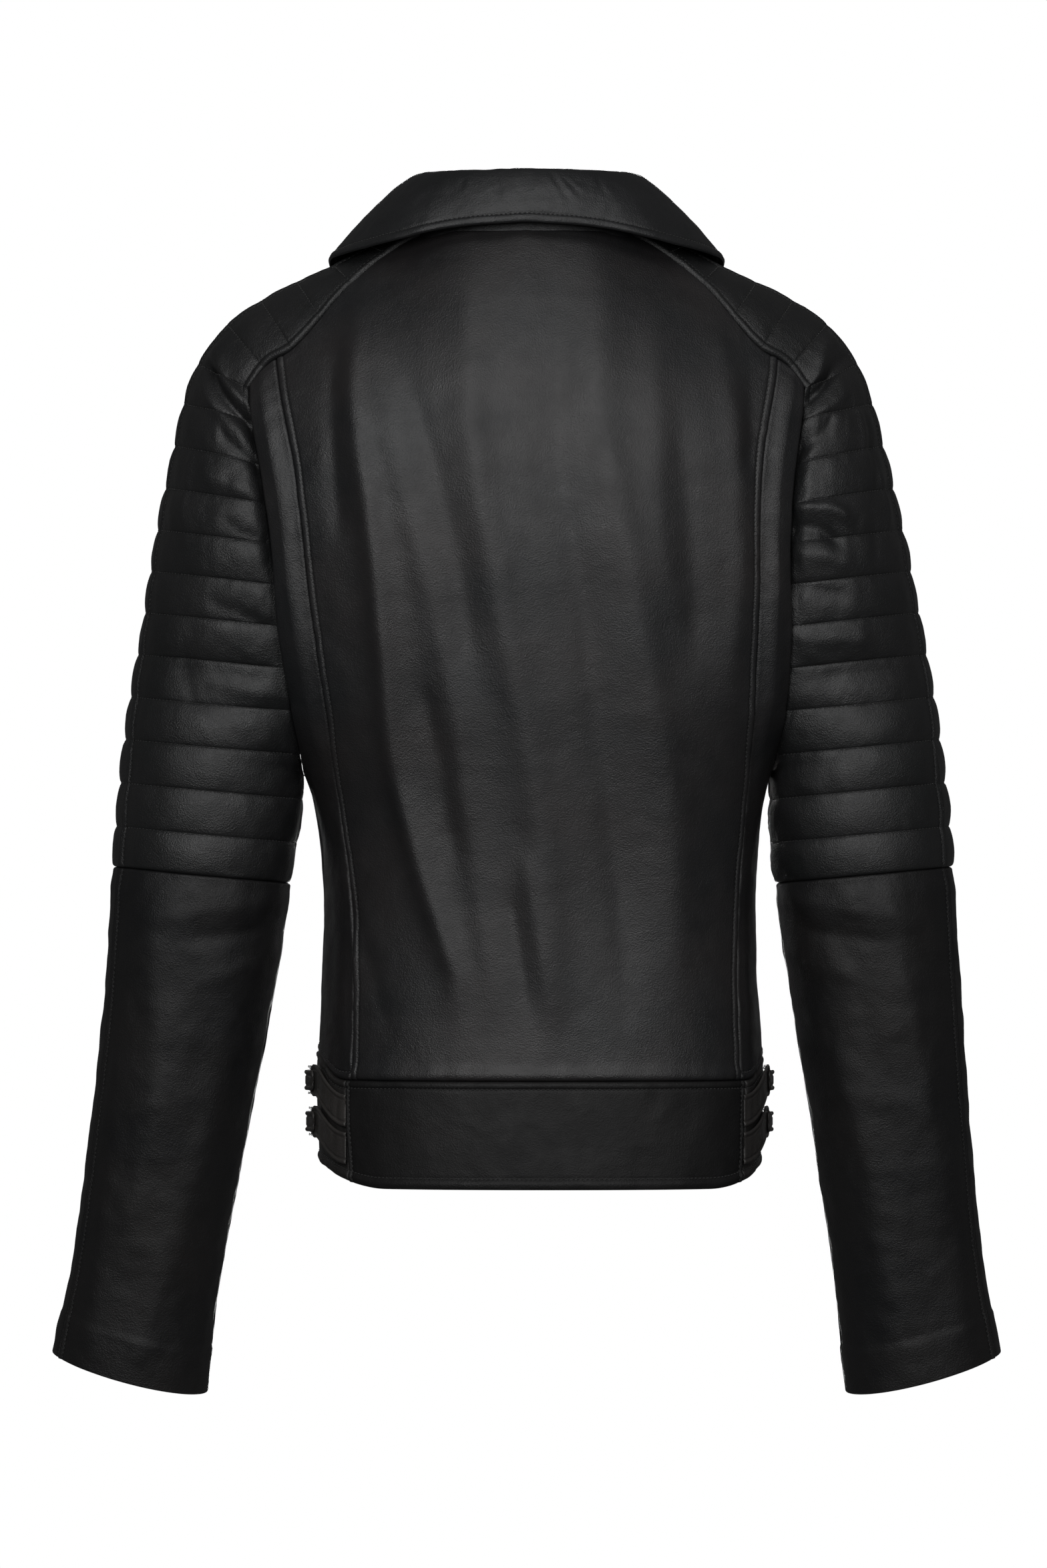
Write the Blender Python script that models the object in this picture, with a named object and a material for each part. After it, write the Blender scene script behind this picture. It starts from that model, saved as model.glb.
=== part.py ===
"""A leather riding jacket with quilted raglan sleeves, shown worn on an unseen torso.

The origin is the centre of the back neck seam. +Z is up and the jacket's back faces -Y.
Leather panels are sheets laid on two shared surfaces: the torso, and the sleeve with its raglan shoulder.
"""

import math

import bpy
import numpy as np

# Materials and joins, metres
LEATHER = 0.0014
QUILTED = 0.0036
QUILTED_EDGE = 0.0014
LINING = 0.0008
LINING_INSET = 0.0050
SLEEVE_LINING_INSET = 0.0070
SEAM_GAP = 0.0004
PADDED_GAP = 0.0010
RAGLAN_GAP = 0.0011
LINING_GAP = 0.0015
MITRE = 0.6

# Torso, metres
TORSO_CENTRE_Y = 0.060
SHOULDER_ROLL = 0.130
BACK_SQUARENESS = 2.3
FRONT_SQUARENESS = 2.6
WAIST_SEAM_Z = -0.543
HEM_Z = -0.612
WAIST_RISE = 0.018
HEM_RISE = 0.016
ARMPIT_Z = -0.348
NECK_FRONT_Z = -0.075
ZIP_TOP_Y = 0.122
ZIP_SLOPE = 0.045
CHEST_FULLNESS = 0.018
# Each row: drop below the neck, half width, back depth
TORSO = (
    (-0.04, 0.210, 0.086),
    (0.00, 0.210, 0.0879),
    (0.05, 0.208, 0.094),
    (0.10, 0.204, 0.103),
    (0.15, 0.194, 0.110),
    (0.20, 0.190, 0.112),
    (0.25, 0.183, 0.110),
    (0.30, 0.169, 0.106),
    (0.348, 0.148, 0.101),
    (0.42, 0.1385, 0.094),
    (0.50, 0.1405, 0.094),
    (0.545, 0.1425, 0.096),
    (0.62, 0.139, 0.099),
)
# Shoulder line: distance from the centre, height
RIDGE = (
    (0.000, 0.035),
    (0.045, 0.025),
    (0.078, 0.004),
    (0.124, -0.021),
    (0.148, -0.0325),
    (0.171, -0.0435),
    (0.193, -0.0585),
    (0.213, -0.084),
)
# Side seam of the centre back panel: drop, half width
BACK_SEAM = (
    (0.00, 0.161),
    (0.086, 0.160),
    (0.154, 0.149),
    (0.240, 0.143),
    (0.343, 0.133),
    (0.425, 0.124),
    (0.62, 0.128),
)
# The lower body turns a little to one side against the shoulders
TWIST_SHIFT = 0.0085
TWIST_TURN = 0.070
TWIST_FROM_Z = -0.10
TWIST_TO_Z = -0.45
ARM_SHIFT = 0.004

# Sleeve by quilt channel from the neck: channel, outer x, z, centre y, back seam x, z,
# degrees turned from the outer line to the back seam, front seam x, z, degrees turned to the front seam
CHANNELS = 18
SLEEVE = (
    (0, 0.078, 0.004, 0.060, 0.066, -0.002, 35, 0.068, -0.028, 45),
    (2, 0.124, -0.021, 0.060, 0.112, -0.0336, 38, 0.100, -0.052, 52),
    (4, 0.171, -0.0435, 0.062, 0.150, -0.0762, 55, 0.130, -0.085, 62),
    (5, 0.193, -0.0585, 0.064, 0.168, -0.0885, 66, 0.143, -0.104, 76),
    (6, 0.213, -0.084, 0.066, 0.1765, -0.102, 78, 0.150, -0.122, 96),
    (7, 0.2225, -0.110, 0.067, 0.1745, -0.121, 90, 0.154, -0.142, 112),
    (8, 0.229, -0.137, 0.068, 0.1695, -0.149, 96, 0.156, -0.165, 123),
    (10, 0.2405, -0.191, 0.068, 0.164, -0.201, 100, 0.157, -0.213, 133),
    (12, 0.250, -0.244, 0.068, 0.1615, -0.254, 102, 0.156, -0.262, 138),
    (14, 0.259, -0.298, 0.068, 0.156, -0.308, 130, 0.152, -0.310, 140),
    (15.5, 0.2645, -0.339, 0.068, 0.148, -0.350, 150, 0.148, -0.350, 150),
    (17, 0.269, -0.381, 0.069, 0.1505, -0.392, 170, 0.1505, -0.392, 170),
    (18, 0.271, -0.407, 0.070, 0.1545, -0.418, 180, 0.1545, -0.418, 180),
)
ARM_BACK = 0.060
ARM_FRONT = 0.060
# Lower sleeve: share of its length, outer x, z, inner x, z, back depth, front depth, centre y
FOREARM = (
    (0.00, 0.271, -0.407, 0.1545, -0.418, 0.060, 0.060, 0.070),
    (0.25, 0.2755, -0.490, 0.168, -0.500, 0.057, 0.058, 0.074),
    (0.50, 0.283, -0.575, 0.1825, -0.583, 0.053, 0.055, 0.080),
    (0.75, 0.2925, -0.655, 0.196, -0.663, 0.049, 0.051, 0.088),
    (1.00, 0.305, -0.722, 0.206, -0.745, 0.046, 0.048, 0.096),
)
OUTER_SEAM = 0.13

# Neck seam, collar fold and leaf edge: share of the way round, x, y, z
NECK = (
    (0.00, 0.000, 0.000, 0.000),
    (0.25, 0.040, 0.0064, -0.001),
    (0.42, 0.066, 0.0203, -0.002),
    (0.60, 0.078, 0.060, 0.004),
    (0.70, 0.0757, 0.082, -0.0036),
    (0.80, 0.068, 0.103, -0.028),
    (0.92, 0.040, 0.1190, -0.058),
    (1.00, 0.010, 0.1220, -0.074),
)
FOLD = (
    (0.00, 0.000, 0.0050, 0.0355),
    (0.25, 0.038, 0.0110, 0.0350),
    (0.42, 0.060, 0.0260, 0.0345),
    (0.60, 0.0705, 0.060, 0.0330),
    (0.70, 0.0685, 0.081, 0.0220),
    (0.80, 0.063, 0.1020, 0.0010),
    (0.92, 0.038, 0.1190, -0.0300),
    (1.00, 0.012, 0.1235, -0.0460),
)
LEAF_EDGE = (
    (0.00, 0.000, -0.0135, 0.0042),
    (0.20, 0.045, -0.0110, 0.0012),
    (0.42, 0.092, 0.0050, -0.0080),
    (0.52, 0.116, 0.0330, -0.0135),
    (0.60, 0.1265, 0.0600, -0.0160),
    (0.70, 0.1250, 0.0880, -0.0280),
    (0.80, 0.1140, 0.1120, -0.0560),
    (0.90, 0.0920, 0.1260, -0.0900),
    (1.00, 0.0580, 0.1330, -0.1120),
)
COLLAR = 0.0018
COLLAR_REST = 0.0028
# Hanger loop inside the collar stand, metres
LOOP_HALF = 0.030
LOOP_END_Y = 0.0085
LOOP_BOW = 0.011
LOOP_CURVE = 3.33
LOOP_Z = (0.0100, 0.0180)
LOOP_THICK = 0.0009

# Waist straps and their buckles, metres
STRAP_Z = {"upper": -0.5440, "lower": -0.5705}
BUCKLE_FORWARD = 0.012
STRAP_DROP = {"upper": 0.0185, "lower": 0.0160}
STRAP_START = -0.0670
STRAP_END = -0.024
TAB_END = 0.043
STRAP_HALF = 0.0108
TAB_HALF = 0.0065
STRAP_THICK = 0.0012
BAR_S = -0.008
BAR_H = 0.0036
BAR_RADIUS = 0.0010
FAR_S = 0.008
FAR_H = 0.0046
FRAME_HALF = 0.0085
FRAME_CORNER = 0.0020
FRAME_BOW = 0.0012
FRAME_SIDES = 6
PRONG_HALF = 0.0011
SLOT_HALF = 0.0018
SIDE_BAND_BACK = 62
SIDE_BAND_FRONT = 126
WAIST_TURN = 32
HEM_TURN_START = 45
HEM_TURN = 50
HEM_TURN_UP = 0.020
LINING_EDGE = 0.020
STAND_BACK = -0.030
STAND_SIDE = 0.050

# Zips, metres
CHAIN_INNER = 0.00015
CHAIN_OUTER = 0.0029
CHAIN_HIGH = 0.0022
TAPE_OUTER = 0.0110
POCKET_TAPE = 0.0080
POCKET_ZIP_REST = 0.0020
ZIP_DROP = 0.0008
PANEL_LIFT = 0.0012
TAPE_THICK = 0.0008
PANEL_EDGE = 0.0072
FRONT_ZIP_TOP_Z = -0.080
FRONT_ZIP_BOTTOM_Z = -0.592
SLIDER_LENGTH = 0.0115
SLIDER_HALF = 0.0047
SLIDER_PLATE = 0.0014
PULL_HALF = 0.0030
PULL_LENGTH = 0.030
POCKET_TOP = (0.072, -0.375)
POCKET_BOTTOM = (0.103, -0.490)

UP = np.array([0, 0, 1.0])

BLACK_LEATHER = ("black_leather", (0.0110, 0.0105, 0.0115), 0.42, 0.0)
BLACK_LINING = ("black_lining", (0.0075, 0.0075, 0.0085), 0.55, 0.0)
ZIP_TAPE = ("zip_tape", (0.0080, 0.0080, 0.0085), 0.80, 0.0)
DARK_METAL = ("dark_metal", (0.110, 0.110, 0.118), 0.30, 1.0)

for leftover in list(bpy.data.objects):
    bpy.data.objects.remove(leftover)
jacket = bpy.data.collections.new("leather_riding_jacket")
helpers = bpy.data.collections.new("helpers")
bpy.context.scene.collection.children.link(jacket)
bpy.context.scene.collection.children.link(helpers)


def material_for(name, finish):
    label, colour, roughness, metallic = finish
    made = bpy.data.materials.new(f"{name}_{label}")
    made.use_nodes = True
    shader = made.node_tree.nodes["Principled BSDF"]
    shader.inputs["Base Color"].default_value = (*colour, 1.0)
    shader.inputs["Roughness"].default_value = roughness
    shader.inputs["Metallic"].default_value = metallic
    return made


def add_mesh(name, points, faces, finish, origin=(0, 0, 0), collection=jacket):
    """A mesh object with its faces turned out and its origin where the piece pivots."""
    points = np.asarray(points, float) - np.asarray(origin, float)
    used = np.unique(np.concatenate([np.asarray(f) for f in faces]))
    renumber = {old: new for new, old in enumerate(used.tolist())}
    faces = [[renumber[i] for i in f] for f in faces]
    points = points[used]
    volume = 0.0
    for face in faces:
        for second, third in zip(face[1:-1], face[2:]):
            volume += np.dot(points[face[0]], np.cross(points[second], points[third]))
    if volume < 0:
        faces = [face[::-1] for face in faces]
    mesh = bpy.data.meshes.new(name)
    mesh.from_pydata(points.tolist(), [], faces)
    mesh.update()
    obj = bpy.data.objects.new(name, mesh)
    obj.location = origin
    collection.objects.link(obj)
    mesh.materials.append(material_for(name, finish))
    return obj


def curve(stations, at):
    """Smooth values at a parameter, through stations whose first column is that parameter."""
    table = np.array(stations, float)
    key = table[:, 0]
    value = table[:, 1:]
    slope = np.gradient(value, key, axis=0)
    at = np.clip(np.asarray(at, float), key[0], key[-1])
    i = np.clip(np.searchsorted(key, at, side="right") - 1, 0, len(key) - 2)
    step = (key[i + 1] - key[i])[..., None]
    t = (at - key[i])[..., None] / step
    start = (1 + 2 * t) * (1 - t) ** 2 * value[i] + t * (1 - t) ** 2 * step * slope[i]
    end = t * t * (3 - 2 * t) * value[i + 1] + t * t * (t - 1) * step * slope[i + 1]
    return start + end


def ease(t):
    t = np.clip(t, 0.0, 1.0)
    return t * t * (3 - 2 * t)


def twist_shift(y, z):
    share = ease((TWIST_FROM_Z - z) / (TWIST_FROM_Z - TWIST_TO_Z))
    return share * (TWIST_SHIFT - TWIST_TURN * (y - TORSO_CENTRE_Y))


def arm_shift(z):
    return ARM_SHIFT * ease(-z / 0.35) * ease((z + 0.74) / 0.30)


def roll(x, z):
    """How far the torso surface has rolled over from the shoulder line: 0 on it, 1 well below."""
    below = (curve(RIDGE, np.abs(x))[..., 0] - z) / SHOULDER_ROLL
    return np.sqrt(np.clip(1 - (1 - np.clip(below, 0, 1)) ** 2, 0, 1))


def torso(angle, z, side):
    """Torso surface: the angle in degrees from the centre line, side -1 for the back and 1 for the front."""
    angle, z = np.broadcast_arrays(np.asarray(angle, float), np.asarray(z, float))
    width = curve(TORSO, -z)
    power = 2 / (BACK_SQUARENESS if side < 0 else FRONT_SQUARENESS)
    turn = np.radians(np.clip(angle, -90, 90))
    x = np.sign(turn) * width[..., 0] * np.abs(np.sin(turn)) ** power
    across = np.abs(np.cos(turn)) ** power
    if side < 0:
        y = TORSO_CENTRE_Y - width[..., 1] * across * roll(x, z)
    else:
        front = ZIP_TOP_Y + (NECK_FRONT_Z - z) * ZIP_SLOPE - TORSO_CENTRE_Y
        chest = np.exp(-(((np.abs(x) - 0.075) / 0.045) ** 2) - ((z + 0.23) / 0.09) ** 2)
        y = TORSO_CENTRE_Y + front * across * roll(x, z) / roll(0 * x, z) + CHEST_FULLNESS * chest
    return np.stack([x + twist_shift(y, z), y, z], axis=-1)


def angle_at(x, z, side):
    """The torso angle whose point is this far from the centre line, before the twist."""
    squareness = BACK_SQUARENESS if side < 0 else FRONT_SQUARENESS
    share = np.clip(np.abs(x) / curve(TORSO, -np.asarray(z, float))[..., 0], 0, 1)
    return np.sign(x) * np.degrees(np.arcsin(share ** (squareness / 2)))


def armhole_x(z, side):
    columns = (5, 4) if side < 0 else (8, 7)
    rows = sorted((-row[columns[0]], row[columns[1]]) for row in SLEEVE if 6 <= row[0] <= 15.5)
    return curve(rows, -np.asarray(z, float))[..., 0]


def armhole_angle(z, side):
    """Where the torso panels end: at the armhole, and below the armpit at the side seam."""
    return np.where(np.asarray(z) <= ARMPIT_Z, 90.0, angle_at(armhole_x(z, side), z, side))


def raglan_z(x, side):
    """Height of the panel tops: the neck seam, then the raglan seam."""
    if side < 0:
        rows = [(0, 0.0), (0.035, -0.0005)] + [(row[4], row[5]) for row in SLEEVE if row[0] <= 6]
    else:
        neck = [(row[1], row[3]) for row in NECK[:4:-1]]
        rows = neck + [(row[7], row[8]) for row in SLEEVE if 2 <= row[0] <= 6]
    return curve(rows, np.abs(x))[..., 0]


def waist_z(around):
    """Height of the waistband's upper seam, by the angle from the centre back."""
    return WAIST_SEAM_Z + WAIST_RISE * ease((np.abs(around) - SIDE_BAND_BACK) / WAIST_TURN)


def hem_z(around):
    """Height of the hem, by the angle from the centre back."""
    return HEM_Z + HEM_RISE * ease((np.abs(around) - HEM_TURN_START) / HEM_TURN)


def torso_panel(first, last, columns, rows, side, bottom=waist_z):
    """Grid of torso points below the neck and raglan seams, between edges that give an angle for a height."""
    share = np.linspace(0, 1, columns)[:, None]
    top = np.full((columns, 1), -0.05)
    for _ in range(60):
        angle = first(top) + (last(top) - first(top)) * share
        reach = torso(angle, top, side)[..., 0] - twist_shift(torso(angle, top, side)[..., 1], top)
        top = 0.6 * top + 0.4 * (raglan_z(reach, side) - RAGLAN_GAP)
    angle = first(WAIST_SEAM_Z) + (last(WAIST_SEAM_Z) - first(WAIST_SEAM_Z)) * share
    bottom_z = bottom(np.abs(angle) if side < 0 else 180 - np.abs(angle))
    z = top + (bottom_z - top) * np.linspace(0, 1, rows)[None, :]
    return torso(first(z) + (last(z) - first(z)) * share, z, side)


def sleeve(share, channel, hand):
    """Upper sleeve surface: share 0 on the outer line, 1 at the back seam, -1 at the front seam."""
    share, channel = np.broadcast_arrays(np.asarray(share, float), np.asarray(channel, float))
    row = curve(SLEEVE, channel)
    back = share >= 0
    centre_y = row[..., 2]
    seam_x = np.where(back, row[..., 3], row[..., 6])
    seam_z = np.where(back, row[..., 4], row[..., 7])
    tops = np.where(back, raglan_z(seam_x, -1), raglan_z(seam_x, 1))
    edges = np.where(back, armhole_x(seam_z, -1), armhole_x(seam_z, 1))
    seam_z = np.where(channel <= 6, tops, seam_z)
    seam_x = np.where((channel > 6) & (seam_z > ARMPIT_Z), edges, seam_x)
    on_back = torso(angle_at(seam_x, seam_z, -1), seam_z, -1)
    on_front = torso(angle_at(seam_x, seam_z, 1), seam_z, 1)
    seam_y = np.where(back, on_back[..., 1], on_front[..., 1])
    seam_y = seam_y + (centre_y - seam_y) * ease((channel - 15.5) / 2.5)
    run = np.abs(seam_y - centre_y)
    last = np.radians(np.where(back, row[..., 5], row[..., 8]))
    tube = np.where(back, ARM_BACK, ARM_FRONT)
    tube = np.maximum(tube, run * 1.02)
    free = ease((channel - 11) / 2)
    last = last + (math.pi - np.arcsin(run / tube) - last) * free
    depth = np.where(free < 1, run / np.maximum(np.sin(last), 0.2), tube)
    turn = np.abs(share) * last
    along = (1 - np.cos(turn)) / (1 - np.cos(last))
    x = row[..., 0] + (seam_x - row[..., 0]) * along
    z = row[..., 1] + (seam_z - row[..., 1]) * along
    y = centre_y - np.where(back, 1, -1) * depth * np.sin(turn)
    apart = ease((channel - 15) / 2.5)
    seam_shift = twist_shift(seam_y, seam_z) * (1 - apart) + arm_shift(seam_z) * apart
    shift = arm_shift(row[..., 1]) * (1 - along) + seam_shift * along
    return np.stack([hand * x + shift, y, z], axis=-1)


def forearm(share, length, hand):
    """Lower sleeve surface, with the same sharing round it."""
    share, length = np.broadcast_arrays(np.asarray(share, float), np.asarray(length, float))
    row = curve(FOREARM, length)
    back = share >= 0
    along = (1 - np.cos(np.abs(share) * math.pi)) / 2
    depth = np.where(back, row[..., 4], row[..., 5])
    x = row[..., 0] + (row[..., 2] - row[..., 0]) * along
    z = row[..., 1] + (row[..., 3] - row[..., 1]) * along
    y = row[..., 6] - np.where(back, 1, -1) * depth * np.sin(np.abs(share) * math.pi)
    return np.stack([hand * x + arm_shift(z), y, z], axis=-1)


def outward(grid, core):
    """Unit normals of a grid of points, turned away from the core points."""
    normal = np.cross(np.gradient(grid, axis=0), np.gradient(grid, axis=1))
    normal /= np.maximum(np.linalg.norm(normal, axis=-1, keepdims=True), 1e-9)
    facing = np.sum(normal * (grid - core))
    return normal if facing > 0 else -normal


def trimmed(grid, gap=SEAM_GAP):
    """The grid with its four edges drawn in by the seam gap."""
    grid = grid.copy()
    for axis in (0, 1):
        lines = np.moveaxis(grid, axis, 0)
        for edge, inner in ((0, 1), (-1, -2)):
            step = lines[inner] - lines[edge]
            reach = np.linalg.norm(step, axis=-1, keepdims=True)
            lines[edge] += step / np.maximum(reach, 1e-9) * gap
    return grid


def sheet(name, outer, inner, finish, keep=None, wrap=False, origin=(0, 0, 0)):
    """A closed sheet between two grids; cells that keep leaves out become holes."""
    rows, columns = outer.shape[:2]
    across = columns if wrap else columns - 1
    if keep is None:
        keep = np.ones((rows - 1, across), bool)

    def corner(layer, i, j):
        return layer * rows * columns + i * columns + j % columns

    faces = []
    for i, j in np.argwhere(keep).tolist():
        quad = [(i, j), (i + 1, j), (i + 1, j + 1), (i, j + 1)]
        faces.append([corner(0, *spot) for spot in quad])
        faces.append([corner(1, *quad[k]) for k in (0, 3, 2, 1)])
        for side, (down, over) in enumerate(((0, -1), (1, 0), (0, 1), (-1, 0))):
            near_i = i + down
            near_j = (j + over) % across if wrap else j + over
            if 0 <= near_i < rows - 1 and 0 <= near_j < across and keep[near_i, near_j]:
                continue
            start = quad[side]
            end = quad[(side + 1) % 4]
            faces.append([corner(1, *start), corner(1, *end), corner(0, *end), corner(0, *start)])
    points = np.concatenate([outer.reshape(-1, 3), inner.reshape(-1, 3)])
    return add_mesh(name, points, faces, finish, origin)


def torso_core(grid):
    core = grid.copy()
    core[..., 0] = grid[..., 0] * 0.3
    core[..., 1] = TORSO_CENTRE_Y
    return core


def leather_panel(name, grid):
    normal = outward(grid, torso_core(grid))
    front = grid[..., 1:2] > TORSO_CENTRE_Y
    lift = np.where(front, PANEL_LIFT * (1 - ease((np.abs(grid[..., :1]) - 0.020) / 0.040)), 0.0)
    inner = trimmed(grid, SEAM_GAP + MITRE * LEATHER) + normal * (lift - LEATHER)
    return sheet(name, trimmed(grid) + normal * lift, inner, BLACK_LEATHER)


def lining_panel(name, grid):
    normal = outward(grid, torso_core(grid))
    outer = trimmed(grid, LINING_GAP) - normal * LINING_INSET
    return sheet(name, outer, outer - normal * LINING, BLACK_LINING)


def centre_angle(z):
    return angle_at(curve(BACK_SEAM, -np.asarray(z, float))[..., 0], z, -1)


def zip_edge(z):
    return angle_at(PANEL_EDGE + 0 * np.asarray(z, float), z, 1)


def lining_edge(z):
    return angle_at(LINING_EDGE + 0 * np.asarray(z, float), z, 1)


def lining_end(around):
    return hem_z(around) + HEM_TURN_UP


def body_panels():
    back = torso_panel(lambda z: -centre_angle(z), centre_angle, 15, 15, -1)
    leather_panel("back_panel", back)
    for label, hand in (("left", -1), ("right", 1)):
        side = torso_panel(lambda z: hand * centre_angle(z), lambda z: hand * armhole_angle(z, -1), 6, 15, -1)
        leather_panel(f"back_side_panel_{label}", side)
        front = torso_panel(lambda z: hand * zip_edge(z), lambda z: hand * armhole_angle(z, 1), 12, 15, 1)
        leather_panel(f"front_panel_{label}", front)
        front = torso_panel(
            lambda z: hand * lining_edge(z), lambda z: hand * armhole_angle(z, 1), 9, 15, 1, lining_end
        )
        lining_panel(f"front_lining_{label}", front[:, 1:])
    whole = torso_panel(
        lambda z: -armhole_angle(z, -1), lambda z: armhole_angle(z, -1), 15, 15, -1, lining_end
    )
    lining_panel("back_lining", whole)


def ring(around, z):
    """Torso point by the angle all the way round: 0 at the centre back, 90 at the side, 180 at the front."""
    around = np.asarray(around, float)
    behind = torso(np.clip(around, -90, 90), z, -1)
    ahead = torso(np.sign(around) * (180 - np.abs(around)), z, 1)
    return np.where((np.abs(around) <= 90)[..., None], behind, ahead)


def waistband_piece(name, start, end, columns):
    around = np.linspace(start, end, columns)[:, None]
    z = waist_z(around) + (hem_z(around) - waist_z(around)) * np.linspace(0, 1, 4)[None, :]
    around, z = np.broadcast_arrays(around, z)
    leather_panel(name, ring(around, z))


def waistband():
    waistband_piece("back_waistband", -SIDE_BAND_BACK, SIDE_BAND_BACK, 15)
    edge = 180 - float(zip_edge(np.array(-0.57)))
    for label, hand in (("left", -1), ("right", 1)):
        waistband_piece(f"side_waistband_{label}", hand * SIDE_BAND_BACK, hand * SIDE_BAND_FRONT, 10)
        waistband_piece(f"front_waistband_{label}", hand * SIDE_BAND_FRONT, hand * edge, 9)


def padded_sheet(name, grid, core):
    normal = outward(grid, core)
    thickness = np.full(grid.shape[:2] + (1,), QUILTED)
    thickness[[0, -1]] = QUILTED_EDGE
    thickness[:, [0, -1]] = QUILTED_EDGE
    inner = trimmed(grid, PADDED_GAP + MITRE * QUILTED_EDGE) - normal * thickness
    sheet(name, trimmed(grid, PADDED_GAP), inner, BLACK_LEATHER)


def sleeves():
    channel = np.concatenate([np.linspace(0, 14, 15), np.linspace(15, CHANNELS, 4)])[None, :]
    length = np.linspace(0, 1, 9)[None, :]
    for label, hand in (("left", -1), ("right", 1)):
        back = np.linspace(OUTER_SEAM, 1, 10)[:, None]
        front = np.linspace(OUTER_SEAM, -1, 11)[:, None]
        middle = (sleeve(0, channel, hand) + sleeve(1, channel, hand) + sleeve(-1, channel, hand)) / 3
        middle[..., 2] -= 0.03 * ease((8 - channel) / 8)
        padded_sheet(f"upper_sleeve_back_{label}", sleeve(back, channel, hand), middle)
        padded_sheet(f"upper_sleeve_front_{label}", sleeve(front, channel, hand), middle)
        middle = (forearm(0, length, hand) + forearm(1, length, hand)) / 2
        for half, share in (("back", back), ("front", front)):
            grid = forearm(share, length, hand)
            normal = outward(grid, middle)
            grid = trimmed(grid)
            sheet(f"lower_sleeve_{half}_{label}", grid, grid - normal * LEATHER, BLACK_LEATHER)
        sleeve_lining(label, hand)


def sleeve_lining(label, hand):
    share = np.linspace(-1, 1, 15)[:-1][:, None]
    upper = sleeve(share, np.array([[15.6, 16.8]]), hand)
    lower = forearm(share, np.linspace(0, 0.97, 7)[None, :], hand)
    grid = np.concatenate([upper, lower], axis=1)
    doubled = np.concatenate([grid[-1:], grid, grid[:1]])
    core = np.broadcast_to(grid.mean(axis=0), doubled.shape)
    normal = outward(doubled, core)[1:-1]
    outer = grid - normal * SLEEVE_LINING_INSET
    inner = outer - normal * LINING
    sheet(
        f"sleeve_lining_{label}", outer.transpose(1, 0, 2), inner.transpose(1, 0, 2), BLACK_LINING, wrap=True
    )


def neck_line(stations, share):
    points = curve(stations, np.abs(share))
    points[..., 0] *= np.where(share < 0, -1, 1)
    return points


def settled(grid, first):
    """The grid moved out from the shoulders and fronts, from its first row on, until it clears them."""
    channel = np.linspace(0, 8, 60)[None, :]
    share = np.linspace(-1, 1, 81)[:, None]
    spots = []
    normals = []
    for hand in (-1, 1):
        shoulder = sleeve(share, channel, hand)
        core = shoulder.copy()
        core[..., 1] = TORSO_CENTRE_Y
        core[..., 2] = np.minimum(core[..., 2], -0.1)
        core[..., 0] *= 0.8
        front = torso(np.linspace(0, 60, 40)[:, None] * hand, np.linspace(-0.17, -0.03, 40)[None, :], 1)
        for surface, middle in ((shoulder, core), (front, torso_core(front))):
            spots.append(surface.reshape(-1, 3))
            normals.append(outward(surface, middle).reshape(-1, 3))
    spots = np.concatenate(spots)
    normals = np.concatenate(normals)
    grid = grid.copy()
    for point in grid[first:].reshape(-1, 3):
        for _ in range(4):
            nearest = int(np.argmin(np.sum((spots - point) ** 2, axis=1)))
            short = COLLAR + COLLAR_REST - np.dot(point - spots[nearest], normals[nearest])
            point += normals[nearest] * max(short, 0.0)
    return grid


def collar():
    share = np.linspace(-1, 1, 27)
    seam = neck_line(NECK, share)
    fold = neck_line(FOLD, share)
    edge = neck_line(LEAF_EDGE, share)
    away = fold - np.array([0, TORSO_CENTRE_Y, 0])
    away[:, 2] = 0
    away /= np.linalg.norm(away, axis=1, keepdims=True)
    low = STAND_SIDE + (STAND_BACK - STAND_SIDE) * (1 - ease((np.abs(share) - 0.22) / 0.10))
    height = low[None, :, None] + (1 - low)[None, :, None] * np.linspace(0, 1, 3)[:, None, None]
    stand = seam + (fold - seam) * height
    stand[0] += UP * SEAM_GAP
    sheet("collar_stand", stand, stand - away * COLLAR, BLACK_LEATHER)
    t = np.linspace(0, 1, 7)[:, None, None]
    start = fold + UP * 0.0014 + away * 0.0004
    rise = fold + UP * 0.0085 + away * 0.0030
    fall = fold + (edge - fold) * 0.30 + away * 0.012 + UP * 0.004
    leaf = start * (1 - t) ** 3 + 3 * rise * t * (1 - t) ** 2 + 3 * fall * t * t * (1 - t) + edge * t**3
    shoulders = ease((np.abs(share) - 0.40) / 0.15)[None, :, None]
    leaf = leaf + (settled(leaf, 2) - leaf) * shoulders
    core = np.broadcast_to(fold + (edge - fold) * 0.5 - away * 0.05, leaf.shape)
    normal = outward(leaf, core)
    sheet("collar_leaf", leaf, leaf - normal * COLLAR, BLACK_LEATHER)


def hanger_loop():
    """A strip that bows away from the inside of the collar stand between its two sewn ends."""
    bow = np.linspace(-1, 1, 13)
    x = bow * LOOP_HALF
    y = LOOP_END_Y + LOOP_BOW * ease(1.15 * (1 - np.abs(bow))) + LOOP_CURVE * x**2
    path = np.stack([x, y, 0 * bow], axis=-1)
    strip = np.stack([path + UP * LOOP_Z[0], path + UP * LOOP_Z[1]])
    sheet("hanger_loop", strip, strip + np.array([0, LOOP_THICK, 0]), BLACK_LEATHER)


def side_frame(hand, z):
    """Distances from the buckles' middle along the torso ring at a height, and the points there."""
    around = hand * np.linspace(20, 175, 621)
    points = ring(around, np.full_like(around, z))
    length = np.concatenate([[0], np.cumsum(np.linalg.norm(np.diff(points, axis=0), axis=1))])
    length -= np.interp(90, np.abs(around), length) + BUCKLE_FORWARD
    return length, points


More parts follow.
